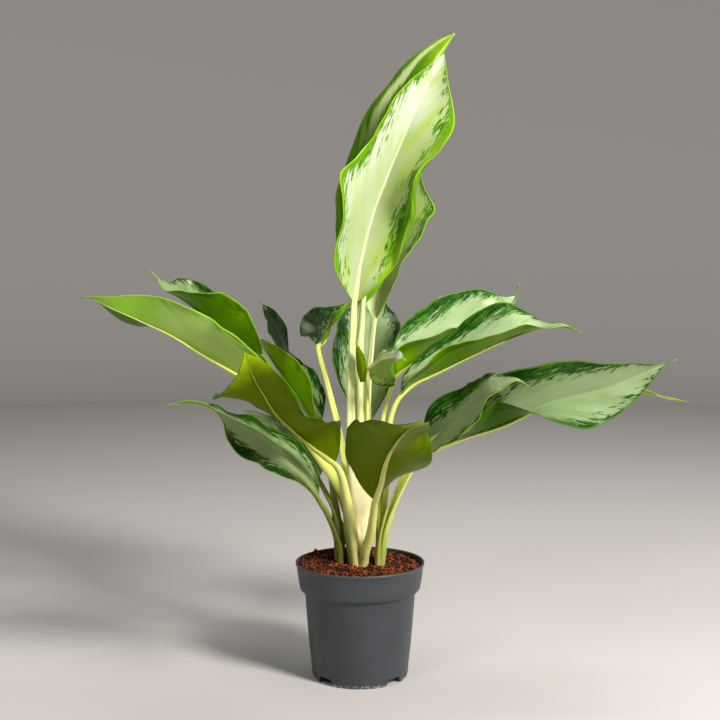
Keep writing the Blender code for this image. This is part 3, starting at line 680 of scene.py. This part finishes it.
def blade_marks(tree):
    """What lay_blade writes on a blade: the vein vector, how far off its midrib, how near to a side vein,
    across and its size, base to tip, and depth into the margin."""
    vein, blade = (
        step(tree, "Attribute", attribute_name=mark).outputs["Vector"] for mark in ("vein", "blade")
    )
    order, off_rib, _ = step(tree, "SeparateXYZ", {0: vein}).outputs
    across, t, depth = step(tree, "SeparateXYZ", {0: blade}).outputs
    beat = reckon("ABSOLUTE", reckon("SUBTRACT", reckon("FRACT", order), 0.5))
    return vein, reckon("ABSOLUTE", off_rib), beat, across, reckon("ABSOLUTE", across), t, depth


def blade_finish(name, tones, rib_share=0.35, scatter=3.0, grit=(1.45, 5.2), line=1.5, crown_highlight=None, lime=0.0):
    """The upper skin: a silver middle clouded with green, with more cloud on the right half as painted shade,
    broken into a dark margin by small flecks that run along the side veins, with a paler midrib and a thin
    bright rim. Scatter is how far flecks stray, grit their fineness along and across the veins, line how
    solid the margin's edge is, crown_highlight a paler tone near the tip that is a painted highlight, and
    lime how far the margin brightens outwards, with painted light on the right half's folded margin."""
    finish, tree, shader = new_finish(name, 0.34, 0.26, (0.86, 1, 0.62, 1))
    silver, cloud_tone, dark, mid, rim, rib_tone = (tone(*parts) for parts in tones)
    vein, off_rib, beat, across, far, t, depth = blade_marks(tree)
    cloud = grain(stretched(vein, (0.34, 0.6, 1.0)), 1.0, 2, 0.5)
    fleck = grain(stretched(vein, (*grit, 1.0)), 1.0, 2, 0.5)
    second = grain(stretched(vein, (grit[0] * 0.55, grit[1] * 0.45, 1.7)), 1.0, 2, 0.5)
    edge = reckon("MULTIPLY_ADD", reckon("SUBTRACT", cloud, 0.5), 1.2, depth)
    edge = reckon("ADD", edge, -0.16 * scatter)
    edge = reckon("MULTIPLY_ADD", fade(far, 0.9, 0.96), line, edge)
    speck = reckon("MULTIPLY_ADD", reckon("SUBTRACT", fleck, 0.5), scatter, edge)
    speck = reckon("MULTIPLY_ADD", reckon("SUBTRACT", second, 0.5), scatter * 0.8, speck)
    dark_mask = fade(speck, -0.03, 0.07)
    halo_mask = fade(speck, -0.6, 0.05)
    lines = grain(stretched(vein, (5.0, 0.6, 1.0)), 1.0, 3, 0.6)
    # Painted shade: the right half, the side turned from the light, takes more of the cloud tone, most
    # towards the base.
    middle = reckon("MULTIPLY_ADD", fade(t, 0.78, 0.5), 0.16, 0.1)
    cloud_and_right_half_shade = reckon("MULTIPLY_ADD", fade(across, -0.05, 0.35), middle, cloud)
    # Painted highlight: a paler tone near the tip, stronger on the left half, where the light falls
    # strongest.
    if crown_highlight:
        near_tip = fade(reckon("MULTIPLY_ADD", across, -0.5, t), 0.5, 0.95)
        silver = paint_over(silver, tone(*crown_highlight), near_tip)
    base = paint_over(silver, cloud_tone, fade(cloud_and_right_half_shade, 0.38, 1.0))
    base = paint_over(base, cloud_tone, fade(lines, 0.48, 0.72), 0.16)
    base = paint_over(base, mid, halo_mask, 0.4)
    margin = paint_over(dark, mid, fade(second, 0.52, 0.64))
    if lime:
        margin = paint_over(margin, mid, fade(far, 0.74, 0.92), lime)
        # Painted light: low on the right half, where the margin folds over, it is brightened towards the rim
        # tone as if lit through.
        lit = reckon("MULTIPLY", fade(across, 0.6, 0.86), fade(t, 0.76, 0.6))
        margin = paint_over(margin, rim, lit, lime)
    base = paint_over(base, margin, dark_mask)
    base = paint_over(base, rib_tone, fade(beat, 0.45, 0.5), 0.1)
    on_rib = reckon("SUBTRACT", reckon("MULTIPLY_ADD", t, -0.12, 0.16), off_rib)
    base = paint_over(base, rib_tone, fade(on_rib, -0.05, 0.07), rib_share)
    base = paint_over(base, rim, fade(far, 0.945, 0.985), 0.75)
    pores = grain(stretched(vein, (9.0, 9.0, 1.0)), 3.0, 3, 0.6)
    dress(tree, shader, base, reckon("MULTIPLY_ADD", pores, 0.3, lines), 0.07)
    tree.links.new(reckon("MULTIPLY_ADD", pores, 0.14, 0.22), shader.inputs["Roughness"])
    return finish


def under_finish(name, tones, gloss=0.1, low=0.1, high=0.7, start=-0.3, tip_at=0.8, rim=None, flank=None):
    """The lower skin: an even green with paler side veins and a soft gloss, lighter towards the tip, and
    lighter in a band between low and high across, from start on, as a painted sheen and painted light
    coming through. Rim and flank are tones for the edge and for the right half, the flank tone painted shade."""
    finish, tree, shader = new_finish(name, 0.3, gloss, (0.8, 1, 0.4, 1))
    green, shade, vein_tone, middle, tip = (tone(*parts) for parts in tones)
    vein, _, beat, across, far, t, _ = blade_marks(tree)
    cloud = grain(stretched(vein, (0.35, 0.3, 1.0)), 1.0, 3, 0.55)
    lines = grain(stretched(vein, (5.0, 0.3, 1.0)), 1.0, 3, 0.6)
    base = paint_over(green, shade, fade(cloud, 0.4, 0.64))
    reach = reckon("MULTIPLY_ADD", cloud, 0.6, far)
    inner, outer = fade(reach, low + 0.2, low + 0.4), fade(reach, high + 0.5, high + 0.3)
    # Painted sheen and painted light coming through, in a band along the blade.
    sheen_and_glow_band = reckon("MULTIPLY", reckon("MULTIPLY", outer, inner), fade(t, start, start + 0.25))
    base = paint_over(base, middle, sheen_and_glow_band)
    near_tip = reckon("MULTIPLY_ADD", cloud, 0.3, t)
    base = paint_over(base, tip, fade(near_tip, tip_at, tip_at + 0.25))
    base = paint_over(base, vein_tone, fade(beat, 0.43, 0.5), 0.2)
    base = paint_over(base, vein_tone, fade(lines, 0.52, 0.75), 0.18)
    # Painted shade: the flank tone darkens the right half.
    if flank:
        base = paint_over(base, tone(*flank), fade(across, 0.02, 0.14), 0.85)
    edge_tone, strength = (tone(*rim), 0.8) if rim else (vein_tone, 0.5)
    base = paint_over(base, edge_tone, fade(far, 0.95, 0.99), strength)
    dress(tree, shader, base, lines, 0.08)
    return finish


def stalk_finish(name, tones, turn=(0.12, 0.22)):
    """Smooth stalk skin: one tone near the coir and another above, with fine lengthwise streaks, and
    stains low down. Turn is the height over which the tone changes, in metres."""
    finish, tree, shader = new_finish(name, 0.36, 0.3, (1, 1, 0.6, 1))
    low, high, streak_tone, stain = (tone(*parts) for parts in tones)
    skin = step(tree, "Attribute", attribute_name="skin").outputs["Vector"]
    spot = step(tree, "TexCoord").outputs["Object"]
    height = step(tree, "SeparateXYZ", {0: spot}).outputs[2]
    streaks = grain(stretched(skin, (9.0, 9.0, 0.16)), 1.0, 4, 0.6)
    cloud = grain(stretched(skin, (2.0, 2.0, 0.45)), 1.0, 3, 0.5)
    rise = reckon("MULTIPLY_ADD", reckon("SUBTRACT", cloud, 0.5), 0.08, height)
    base = paint_over(low, high, fade(rise, *turn))
    base = paint_over(base, streak_tone, fade(streaks, 0.45, 0.7), 0.55)
    smudge = grain(stretched(skin, (4.0, 4.0, 0.7)), 1.0, 5, 0.7)
    near_soil = fade(height, 0.175, 0.108)
    stained = reckon("MULTIPLY", fade(smudge, 0.56, 0.68), near_soil)
    base = paint_over(base, stain, stained, 0.75)
    base = paint_over(base, tone(70, 40, 22), fade(height, 0.107, 0.102), 0.7)
    dress(tree, shader, base, streaks, 0.18)
    return finish


CREAM_TONES = (
    (172, 184, 138), (160, 184, 72), (46, 108, 4), (100, 152, 8), (150, 192, 12), (216, 222, 180),
)
front_blade = blade_finish("leaf_cream_front", CREAM_TONES, 0.8, 3.8, (1.25, 6.2), 2.2, (208, 214, 192), 0.8)
cream_blade = blade_finish("leaf_cream", CREAM_TONES, 0.8, 4.0, (1.25, 6.2), 2.2, (208, 214, 192))
# Its pale middle band is a painted sheen along the rolled leaf's underside.
cream_under = under_finish(
    "leaf_cream_under", ((92, 146, 10), (66, 118, 5), (160, 204, 34), (228, 246, 168), (150, 190, 26)),
    0.3, 0.42, 0.66, 0.5, 0.95,
)
cream_stalk = stalk_finish(
    "stalk_cream", ((216, 218, 146), (232, 232, 170), (200, 206, 100), (190, 120, 50)),
)
lay_leaf(
    "leaf_top_front", front_blade, cream_under, cream_stalk, "leaf_cream", half=43,
    stalk=[
        (-4, -3, 98, 4.4), (-5, -2, 140, 5.0), (-7, -1, 190, 4.2), (-8.5, 0, 258, 3.1), (-5, 0, 348, 2.9),
    ],
    rib=[(-5, 0, 348), (0, 2, 379), (9, 6, 418), (21, 10, 453), (48, 14, 517), (77, 18, 575)],
    face=[(0.1, -1, 0), (0, -1, 0), (-0.1, -1, 0.1)],
    left=side(
        [30, 20, 38, 32, 44, 50, 45], widest=0.45,
        sweep=(0, 0.18, -0.02, -0.12, 0.05, 0.22, 0, -0.16, -0.05, 0.12, 0.12, 0.05, 0),
    ),
    right=side(
        [30, 5, 15, 38, 22, 0, 0], widest=0.45, curl=15, full=1.1,
        sweep=(0, 0, 0, 0, 0, 0, 0, 0, 0.08, 0.24, 0.22, 0.05, 0),
    ),
    silver=(
        [0.8, 0.58, 0.66, 0.76, 0.78, 0.7, 0.58, 0.6, 0.68, 0.66, 0.58, 0.5, 0.45],
        [0.7, 0.45, 0.4, 0.4, 0.36, 0.4, 0.4, 0.5, 0.56, 0.5, 0.6, 0.6, 0.55],
    ),
    hem=([0], [0, 30, 120, 150, 150, 110, 30, 0, 0, 0]), wing=[0.0, 0.25, 0.2, 0.0],
)
lay_leaf(
    "leaf_top_rolled", cream_blade, cream_under, cream_stalk, "leaf_cream", half=43, keel=0.66,
    stalk=[(0, 0, 98, 4.8), (-2, 5, 150, 5.6), (-3, 8, 200, 5.4), (-3, 9, 270, 4.6), (3, 16, 347, 2.6)],
    rib=[
        (3, 16, 347), (6, 24, 385), (8, 32, 424), (15, 38, 471), (30, 40, 518), (50, 38, 555),
        (71, 34, 581), (88, 30, 596),
    ],
    face=[(0.3, 1, 0), (0.3, 1, 0), (0.4, 1, 0)], left=side([10, 5, 0, 0, 0, 10, 20], full=0.75),
    right=side([20, 20, 15, 20, 20, 15, -20], widest=0.38, curl=15), silver=([0.8], [0.8]),
    wing=[0.0, 0.6, 0.5, 0.2, 0.0],
)
lay_leaf(
    "leaf_top_back", cream_blade, cream_under, cream_stalk, "leaf_cream", half=38,
    stalk=[
        (3.5, -2, 98, 4.4), (3.7, -1.4, 108, 4.4), (6, 5, 135, 4.6), (7, 12, 205, 3.2), (8, 17, 269, 2.5),
        (14, 30, 332, 2.3),
    ],
    rib=[(14, 30, 332), (22, 46, 367), (32, 62, 411), (46, 74, 458), (60, 80, 495), (70, 82, 520)],
    face=[(0, -1, 0.4), (0, -1, 0.3), (0, -1, 0.2)], left=side([10, 5, 0, 0, 0, 0, 0], full=0.8),
    right=side(
        [55, 60, 48, 30, 20, 20, 20], sweep=(0, 0, 0, 0, 0, 0.04, 0.02, 0.08, -0.3, -0.55, -0.5, -0.3, 0),
    ),
    silver=([0.72], [0.62]), wing=[0.0, 0.25, 0.2, 0.0],
)

# Right leaves: five grown blades that arch out from the right-hand cane, silver in the middle, with broad
# dark margins and bright green undersides that show where a near half hangs down.
green_blade = blade_finish(
    "leaf_green",
    ((160, 180, 132), (138, 162, 100), (20, 70, 8), (62, 116, 18), (84, 140, 20), (146, 174, 92)),
)
fresh_under = under_finish(
    "leaf_fresh_under", ((96, 142, 2), (74, 120, 1), (150, 184, 36), (112, 156, 4), (124, 164, 8)), 0.05,
)
# The bright upper tone is partly the stalks' own pale colour and partly painted light on the keels, which
# face down.
green_stalk = stalk_finish(
    "stalk_green", ((172, 184, 86), (236, 240, 124), (196, 208, 88), (132, 84, 40)),
)
# Painted shade: a darker copy of the fresh underside, for near halves that hang in shadow.
shaded_under = under_finish(
    "leaf_shaded_under", ((42, 78, 2), (30, 62, 1), (84, 120, 16), (50, 88, 3), (104, 142, 8)), 0.015,
)
# A darker, duller copy of leaf_green for the lower right leaves: partly their older colour and partly painted
# shade, as less light reaches them.
grown_shaded_blade = blade_finish(
    "leaf_grown_shaded",
    ((138, 156, 114), (118, 140, 86), (14, 54, 6), (50, 98, 16), (70, 124, 18), (124, 150, 80)),
)
lay_leaf(
    "leaf_right_high", green_blade, fresh_under, green_stalk, stem="stem_right", half=40, tail=0.07,
    stalk=[
        (17.3, 1, 98, 3.4), (17.3, 1, 108, 3.4), (19, 10, 140, 3.4), (22, 24, 190, 3.0), (21, 34, 235, 2.8),
        (36, 46, 277, 2.4),
    ],
    rib=[
        (36, 46, 277), (53, 54, 291), (78, 68, 307), (108, 88, 323), (142, 112, 337), (158, 124, 350),
        (161, 126, 364),
    ],
    face=[(-0.5, -0.4, 0.8), (-0.3, -0.5, 0.9), (-0.2, -0.5, 0.9)],
    left=side([40, 40, 30, 25, 35, 50, 0], sweep=(0, 0, 0.02, 0.08, 0.18, 0.24, 0.14, 0)),
    right=side([110, 48, 30, 30, 30, 30, 20]), silver=([0.68, 0.62, 0.56, 0.56, 0.6, 0.66, 0.66], [0.7]),
)
lay_leaf(
    "leaf_right_mid", green_blade, fresh_under, green_stalk, stem="stem_right", half=41, tail=0.05,
    stalk=[
        (17, -2, 98, 3.6), (17, -2, 110, 3.6), (20, 0, 140, 3.4), (25, 0, 192, 3.4), (27, -8, 240, 3.2),
        (38, -12, 265, 2.8),
    ],
    rib=[
        (38, -12, 265), (50, -12, 276), (73, -12, 287), (108, -12, 304), (141, -10, 318), (176, -8, 328),
        (203, -6, 321),
    ],
    face=[(-0.4, -0.3, 0.8), (-0.3, -0.3, 0.9), (0, -0.4, 0.9)],
    left=side([0, 10, 12, 20, 35, -15, 10], sweep=(0, 0, 0, 0.04, 0.14, 0.2, 0.1, 0)),
    right=side([25, 35, 40, 32, 34, 15, 40]), silver=([0.68, 0.62, 0.58, 0.56, 0.6, 0.62], [0.7]),
    wing=[0.0, 0.35, 0.3, 0.0],
)
lay_leaf(
    "leaf_right_long", grown_shaded_blade, shaded_under, green_stalk, stem="stem_right", half=43, tail=0.04,
    stalk=[
        (18, -3, 98, 3.8), (18, -3, 108, 3.8), (24, -7, 142, 3.8), (30, -10, 165, 3.8), (43, -17, 196, 3.4),
        (63, -24, 214, 2.8),
    ],
    rib=[
        (63, -24, 214), (92, -30, 228), (130, -36, 241), (172, -40, 261), (221, -42, 275), (269, -42, 295),
        (281, -42, 299),
    ],
    face=[(-0.3, -0.3, 0.9), (-0.2, -0.8, 0.5), (-0.1, -1, 0.1)], left=side([-20, -10, 38, 50, 45, 45, 50]),
    right=side([30, 35, 72, 30, 0, -5, 0]),
    silver=([0.44, 0.48, 0.52, 0.56, 0.62, 0.76], [0.6, 0.6, 0.64, 0.66, 0.64, 0.56]),
    wing=[0.0, 0.75, 0.6, 0.1, 0.0],
)
lay_leaf(
    "leaf_right_front", grown_shaded_blade, fresh_under, green_stalk, stem="stem_right", half=30, tail=0.05,
    stalk=[
        (20, -3, 98, 3.2), (20, -3.5, 108, 3.2), (24, -10, 138, 3.0), (33, -17, 168, 2.8),
        (46, -29, 198, 2.6), (58, -38, 221, 2.4),
    ],
    rib=[
        (58, -38, 221), (71, -52, 237), (84, -68, 254), (97, -82, 267), (109, -94, 280), (122, -102, 286),
        (132, -106, 287), (141, -108, 282),
    ],
    face=[(-0.3, -0.8, 0.6), (-0.3, -0.8, 0.6), (-0.2, -0.8, 0.6)],
    left=side([0, 10, -18, -28, -30, -40, -50]), right=side([0, 22, 15, 8, 15, 20, 40]),
    silver=([0.26, 0.26, 0.3, 0.45, 0.8], [0.78, 0.76, 0.76, 0.8, 0.9]),
)
lay_leaf(
    "leaf_right_back", grown_shaded_blade, fresh_under, green_stalk, stem="stem_right", half=34, tail=0.11,
    stalk=[
        (20, 1, 98, 3.2), (20.5, 1, 108, 3.2), (28, 10, 150, 3.0), (45, 18, 190, 2.8), (80, 24, 222, 2.4),
    ],
    rib=[
        (80, 24, 222), (112, 24, 238), (168, 22, 254), (223, 18, 262), (265, 14, 264), (291, 8, 258),
        (304, 8, 256),
    ],
    face=[(0, -0.3, 1), (0, -0.3, 1), (0, 0.6, 1)], left=side([20, 20, 20, 20, 20, 10, 10]),
    right=side([20, 20, 20, 20, 20, 10, 10]),
)

# Back leaves: two dark, mature blades that stand behind the stalks and face the front. Their green is
# deeper and their silver duller than the younger leaves', partly their own colour and partly painted shade.
shade_blade = blade_finish(
    "leaf_shade",
    ((132, 152, 104), (112, 134, 80), (12, 48, 5), (44, 86, 14), (60, 108, 18), (124, 148, 72)),
)
lay_leaf(
    "leaf_back", shade_blade, fresh_under, green_stalk, half=37,
    stalk=[(1, 1, 98, 3.6), (1, 1.5, 108, 3.6), (3, 18, 140, 3.6), (4, 34, 190, 3.0), (5, 44, 230, 2.4)],
    rib=[(5, 44, 230), (6, 62, 261), (8, 94, 298), (10, 128, 331), (12, 160, 352), (13, 178, 360)],
    face=[(0, -1, 0.8), (0, -0.7, 1), (0, -0.6, 1)], left=side([35, 30, 16, 24, 0, -15, 0], curl=8),
    right=side([35, 35, 30, 24, 0, -15, 0], curl=8),
    silver=([1.1, 0.64, 0.55, 0.55, 0.5], [1.1, 0.8, 0.6, 0.46, 0.4]),
)
lay_leaf(
    "leaf_back_left", shade_blade, fresh_under, green_stalk, half=34,
    stalk=[
        (-3.4, 0.4, 98, 3.6), (-3.5, 0.6, 108, 3.6), (-8, 18, 145, 3.4), (-14, 30, 194, 3.0),
        (-23, 42, 236, 2.6), (-39, 58, 304, 2.2),
    ],
    rib=[
        (-39, 58, 304), (-34, 74, 311), (-32, 96, 318), (-28, 126, 323), (-22, 156, 327), (-15, 180, 334),
        (-8, 200, 344),
    ],
    face=[(0.1, -0.4, 1), (0.1, -0.4, 1), (0.1, -0.3, 1)],
    left=side(
        [14, -12, 6, 24, 32, 28, 10], widest=0.33, full=0.84,
        sweep=(0, 0, 0, -0.03, -0.12, -0.16, -0.06, 0),
    ),
    right=side([35, 52, 38, 35, 40, 55, 60], curl=70, full=0.6),
    silver=([0.1, 0.0, -0.1, -0.1], [0.5, 0.45, 0.4, 0.3]),
)

# Front leaves: two long blades that reach towards the viewer above eye level of the pot, so that their
# olive undersides show, and a small half-open leaf between the stalks.
front_stalk = stalk_finish(
    "stalk_front", ((212, 212, 126), (162, 162, 56), (180, 180, 70), (132, 84, 40)), (0.19, 0.25),
)
# Its lime tip tone is a painted highlight on the folded tips.
olive_under = under_finish(
    "leaf_olive_under", ((86, 106, 4), (70, 90, 3), (112, 128, 22), (90, 108, 5), (152, 182, 12)),
    0.02, tip_at=0.93, rim=(54, 104, 10),
)
lay_leaf(
    "leaf_centre_small", cream_blade, fresh_under, green_stalk, half=20, tail=0.06,
    stalk=[(3, -6, 98, 3.4), (4, -6, 160, 3.4), (6, -7, 240, 2.6), (8, -8, 287.6, 1.6)],
    rib=[(8, -8, 288), (16, -20, 296), (26, -32, 300), (34, -43, 302), (40, -52, 299)],
    face=[(-0.3, -0.3, 1)] * 3, left=side([10, 20, 25, 20, 20, 20, 20], full=0.6),
    right=side([-50, -75, -88, -85, -60, -20, 0], widest=0.34, curl=10, full=1.35),
    wing=[0.0, 0.1, 0.2, 0.4, 0.3],
)
lay_leaf(
    "leaf_front", green_blade, olive_under, front_stalk, half=42, tail=0.04,
    stalk=[
        (2.5, -10, 98, 3.8), (2.8, -10.4, 107, 3.8), (5, -16, 120, 3.9), (10, -26, 140, 3.6),
        (14, -48, 174, 3.0),
    ],
    rib=[
        (14, -48, 174), (18, -64, 191), (22, -98, 215), (26, -130, 232), (32, -162, 247), (38, -192, 258),
        (43, -216, 265), (47, -230, 268),
    ],
    face=[(-0.2, 0.4, 1), (-0.1, 0.4, 1), (0, 0.4, 1)],
    left=side([35, 4, -8, 12, 18, 10, 0], widest=0.36, sweep=(0, 0, -0.1, -0.12, 0, 0)),
    right=side([40, 36, 38, 36, 20, 4, -20], widest=0.36),
)
lay_leaf(
    "leaf_left_front", green_blade, olive_under, front_stalk, half=42,
    stalk=[
        (-4.5, -9, 98, 3.9), (-4.8, -9.5, 108, 3.9), (-6, -14, 130, 4.0), (-9, -17, 153, 3.9),
        (-16, -27, 190, 3.4), (-24, -34, 205, 2.8),
    ],
    rib=[
        (-24, -34, 205), (-42, -52, 223), (-57, -78, 241), (-70, -106, 259), (-78, -134, 278),
        (-84, -158, 293), (-88, -180, 309), (-89, -190, 316),
    ],
    face=[(0, 0.4, 1), (0.2, 0.4, 1), (0.2, 0.4, 1)], left=side([30, 28, 5, -10, -15, 15, 40]),
    right=side(
        [20, 30, 25, 10, -15, -50, -80], widest=0.6,
        sweep=(0, 0, 0, 0, 0, 0, 0, 0, 0, 0, 0.02, -0.46, -0.8),
    ),
    wing=[0.0, 0.25, 0.15, 0.0],
)

sheath_tip = dict(
    half=6, tail=0.04, face=[(-0.2, 1, 0.1)] * 2, silver=([0.0], [0.0]),
    rib=[(2.6, -9.4, 276), (1.6, -10.2, 286), (0, -10.8, 296), (-2.2, -10.8, 305), (-4.2, -10.2, 313)],
    left=side([20, 25, 20, 10], widest=0.45, ripple=(0, 1, 0)),
    right=side([20, 25, 20, 10], widest=0.35, ripple=(0, 1, 0), full=0.7),
)
lay_blade("leaf_centre_small", sheath_tip, olive_under, olive_under, "_sheath_tip")

# Common sheath: the broad cream wrap of young leaf bases that stands between the front stalks. It is thin,
# curved round the inner stalks, narrow at the coir and widest half way up, with rusty marks low down.
SHEATH_ROWS = 70
SHEATH_COLUMNS = 26
SHEATH_BEND = 68
SHEATH_THICK = 0.9
sheath_way = [
    (1.6, -10.0, 97, 3.8), (1.9, -10.7, 108, 3.8), (2.2, -11.3, 121, 4.8), (2.5, -12.0, 136, 7.2),
    (2.7, -12.4, 151, 9.4), (2.5, -12.4, 167, 11.0), (1.5, -11.8, 184, 11.4), (0.2, -10.8, 200, 10.4),
    (-1.0, -9.8, 214, 6.6), (-1.6, -9.4, 223, 1.0),
]
sheath_skin = stalk_finish(
    "sheath_cream", ((255, 246, 196), (248, 246, 186), (250, 216, 134), (218, 122, 44)),
)
bm = bmesh.new()
bmesh.ops.create_grid(bm, x_segments=SHEATH_COLUMNS, y_segments=SHEATH_ROWS, size=1)
skin = bm.verts.layers.float_vector.new("skin")
for vert in bm.verts:
    bend, t = math.radians(vert.co.x * SHEATH_BEND), (vert.co.y + 1) / 2
    x, y, z, half = along(sheath_way, t)
    ripple = 0.35 * math.sin(vert.co.x * 9) * t + noise.noise(Vector((vert.co.x * 3, t * 7, 2))) * 0.5
    vert.co = Vector((
        x + half * math.sin(bend) / math.sin(math.radians(SHEATH_BEND)),
        y + half * 0.42 * (1 - math.cos(bend)) - ripple, z,
    )) * MM
    vert[skin] = (math.sin(bend) * half / 10, t, z / 10)
sheath = object_from(bm, "stem_centre_sheath", sheath_skin)
thickness = sheath.modifiers.new("Thickness", "SOLIDIFY")
thickness.thickness = SHEATH_THICK * MM
thickness.offset = 0
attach(sheath, "root")
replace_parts(sheath, "stem_centre")

# Left leaves: six grown blades that arch out to the left at several heights. The long one shows its
# glossy underside, partly a painted sheen, and the low one its dark-edged silver face.
# Painted sheen: the bright greens and pale middle band of the long leaf's underside; its flank tone is
# painted shade on the right half.
sheen_under = under_finish(
    "leaf_sheen_under", ((142, 188, 46), (112, 162, 22), (176, 210, 86), (168, 200, 104), (112, 154, 44)),
    0.2, 0.1, 0.8, 0.1, 0.68, flank=(58, 100, 12),
)
lit_under = under_finish(
    "leaf_lit_under", ((108, 164, 3), (80, 136, 1), (150, 190, 36), (120, 176, 4), (130, 170, 8)), 0.08,
)
olive_stalk = stalk_finish(
    "stalk_olive", ((126, 134, 58), (228, 232, 146), (150, 160, 60), (132, 84, 40)), (0.2, 0.27),
)
leafy_stalk = stalk_finish(
    "stalk_leafy", ((128, 138, 58), (96, 142, 12), (120, 160, 30), (132, 84, 40)), (0.2, 0.26),
)
lay_leaf(
    "leaf_left_long", shade_blade, sheen_under, green_stalk, half=42, tail=0.04,
    stalk=[
        (-6, -4, 98, 4.4), (-6.2, -4, 108, 4.4), (-10, -1, 134, 5.0), (-12, 4, 160, 5.0),
        (-22, 6, 181, 4.8), (-65, 2, 241, 3.2),
    ],
    rib=[
        (-65, 2, 241), (-90, -2, 268), (-110, -6, 282), (-144, -8, 302), (-171, -11, 319), (-198, -14, 332),
        (-225, -16, 344), (-242, -16, 353), (-253, -16, 353),
    ],
    face=[(0, 0.5, 0.8), (0, 0.65, 0.75), (0, 0.65, 0.75)],
    left=side([35, 15, 2, 2, 20, 44, 0], sweep=(-0.6, -0.5, -0.25, 0, 0, 0, 0, 0, 0)),
    right=side(
        [20, 24, 34, 42, 40, 10, 20], ripple=(3, 3, 0.5),
        sweep=(0, 0, 0, 0, 0, 0, 0, 0, -0.1, -0.1, 0.1, 0.4, 0),
    ),
    wing=[0.0, 0.5, 0.6, 0.4, 0.1, 0.0],
)
lay_leaf(
    "leaf_left_high", shade_blade, lit_under, leafy_stalk, half=38, tail=0.06,
    stalk=[
        (-5, -1, 98, 4.0), (-5, 0, 109, 4.0), (-12, 6, 150, 3.8), (-30, 8, 195, 3.4), (-58, 8, 238, 3.0),
        (-76, 17, 268, 2.8), (-93, 34, 297, 2.6),
    ],
    rib=[
        (-93, 34, 297), (-120, 33, 314), (-144, 31, 334), (-170, 29, 353), (-182, 28, 359), (-189, 27, 369),
        (-196, 26, 377),
    ],
    face=[(0.3, 0.2, 0.9), (0.3, 0.1, 0.9), (0.3, 0.1, 0.9)], left=side([20, 34, 40, 35, 15, -10, -30]),
    right=side([40, 40, 38, 36, 50, 50, 30]), silver=([0.45, 0.5, 0.55, 0.65], [0.45, 0.5, 0.5, 0.6]),
)
lay_leaf(
    "leaf_left_inner", shade_blade, fresh_under, leafy_stalk, stem="stem_left", half=36,
    stalk=[
        (-17.5, 2.4, 98, 3.2), (-17.5, 2.6, 108, 3.2), (-20, 16, 140, 3.2), (-27, 24, 180, 3.0),
        (-40, 30, 232, 2.6),
    ],
    rib=[(-40, 30, 232), (-51, 40, 245), (-63, 54, 261), (-78, 72, 279), (-92, 94, 296), (-105, 114, 308)],
    face=[(0.6, 0.1, 0.8), (0.6, -0.2, 0.8), (0.3, -0.2, 1)],
    left=side([25, 55, 72, 75, 70, 45, 10], full=0.62), right=side([5, 12, 18, 20, 15, 10, 20]),
    silver=([0.7], [0.7, 0.66, 0.55]),
)
lay_leaf(
    "leaf_left_back", shade_blade, fresh_under, leafy_stalk, stem="stem_left", half=30, tail=0.05,
    stalk=[
        (-20.4, 1.4, 98, 3.2), (-20.4, 1.4, 108, 3.2), (-24, 34, 145, 3.0), (-32, 76, 192, 2.6),
        (-52, 120, 235, 2.4),
    ],
    rib=[
        (-52, 120, 235), (-65, 136, 269), (-76, 148, 292), (-86, 162, 314), (-98, 176, 332),
        (-107, 186, 344),
    ],
    face=[(1, -0.3, 0.5)] * 3, left=side([-10, -5, 0, -5, -10, -10, -20]),
    right=side([-20, -20, -15, -15, -15, 15, 35], widest=0.55), silver=([-1.0], [-0.8]),
)
lay_leaf(
    "leaf_left_low", shade_blade, fresh_under, olive_stalk, stem="stem_left", half=38, tail=0.05,
    stalk=[
        (-18, -1, 98, 3.6), (-18, -2, 109, 3.6), (-19, -4, 121, 3.6), (-24, -8, 140, 3.2),
        (-31, -13, 157, 3.0), (-38, -17, 169, 2.6),
    ],
    rib=[
        (-38, -17, 169), (-50, -26, 190), (-65, -38, 210), (-84, -50, 228), (-103, -62, 243),
        (-122, -72, 257), (-134, -76, 262), (-148, -80, 265), (-168, -84, 263),
    ],
    face=[
        (0.5, -0.4, 0.8), (0.5, -0.4, 0.8), (0.5, -0.4, 0.8), (0.5, -0.4, 0.8), (0.4, -0.3, 0.9),
        (0.2, 0.25, 1), (0.1, 0.35, 1),
    ],
    left=side([15, 10, 0, -15, -22, 0, 0]), right=side([5, 8, -10, -20, -20, 0, 0]),
    silver=([0.5, 0.48, 0.46, 0.44, 0.45], [0.52, 0.52, 0.5, 0.46, 0.4]), wing=[0.0, 0.4, 0.3, 0.0],
)
lay_leaf(
    "leaf_left_low_back", shade_blade, fresh_under, leafy_stalk, stem="stem_left", half=28,
    stalk=[
        (-20, 1, 98, 3.2), (-19, 1, 109, 3.2), (-17, 5, 133, 3.0), (-25, 11, 156, 2.8), (-40, 24, 182, 2.4),
    ],
    rib=[(-40, 24, 182), (-50, 40, 196), (-68, 62, 213), (-89, 82, 224), (-105, 94, 233), (-117, 102, 236)],
    face=[(0.5, -0.3, 0.8)] * 3, left=side([20]), right=side([20], full=0.65),
)
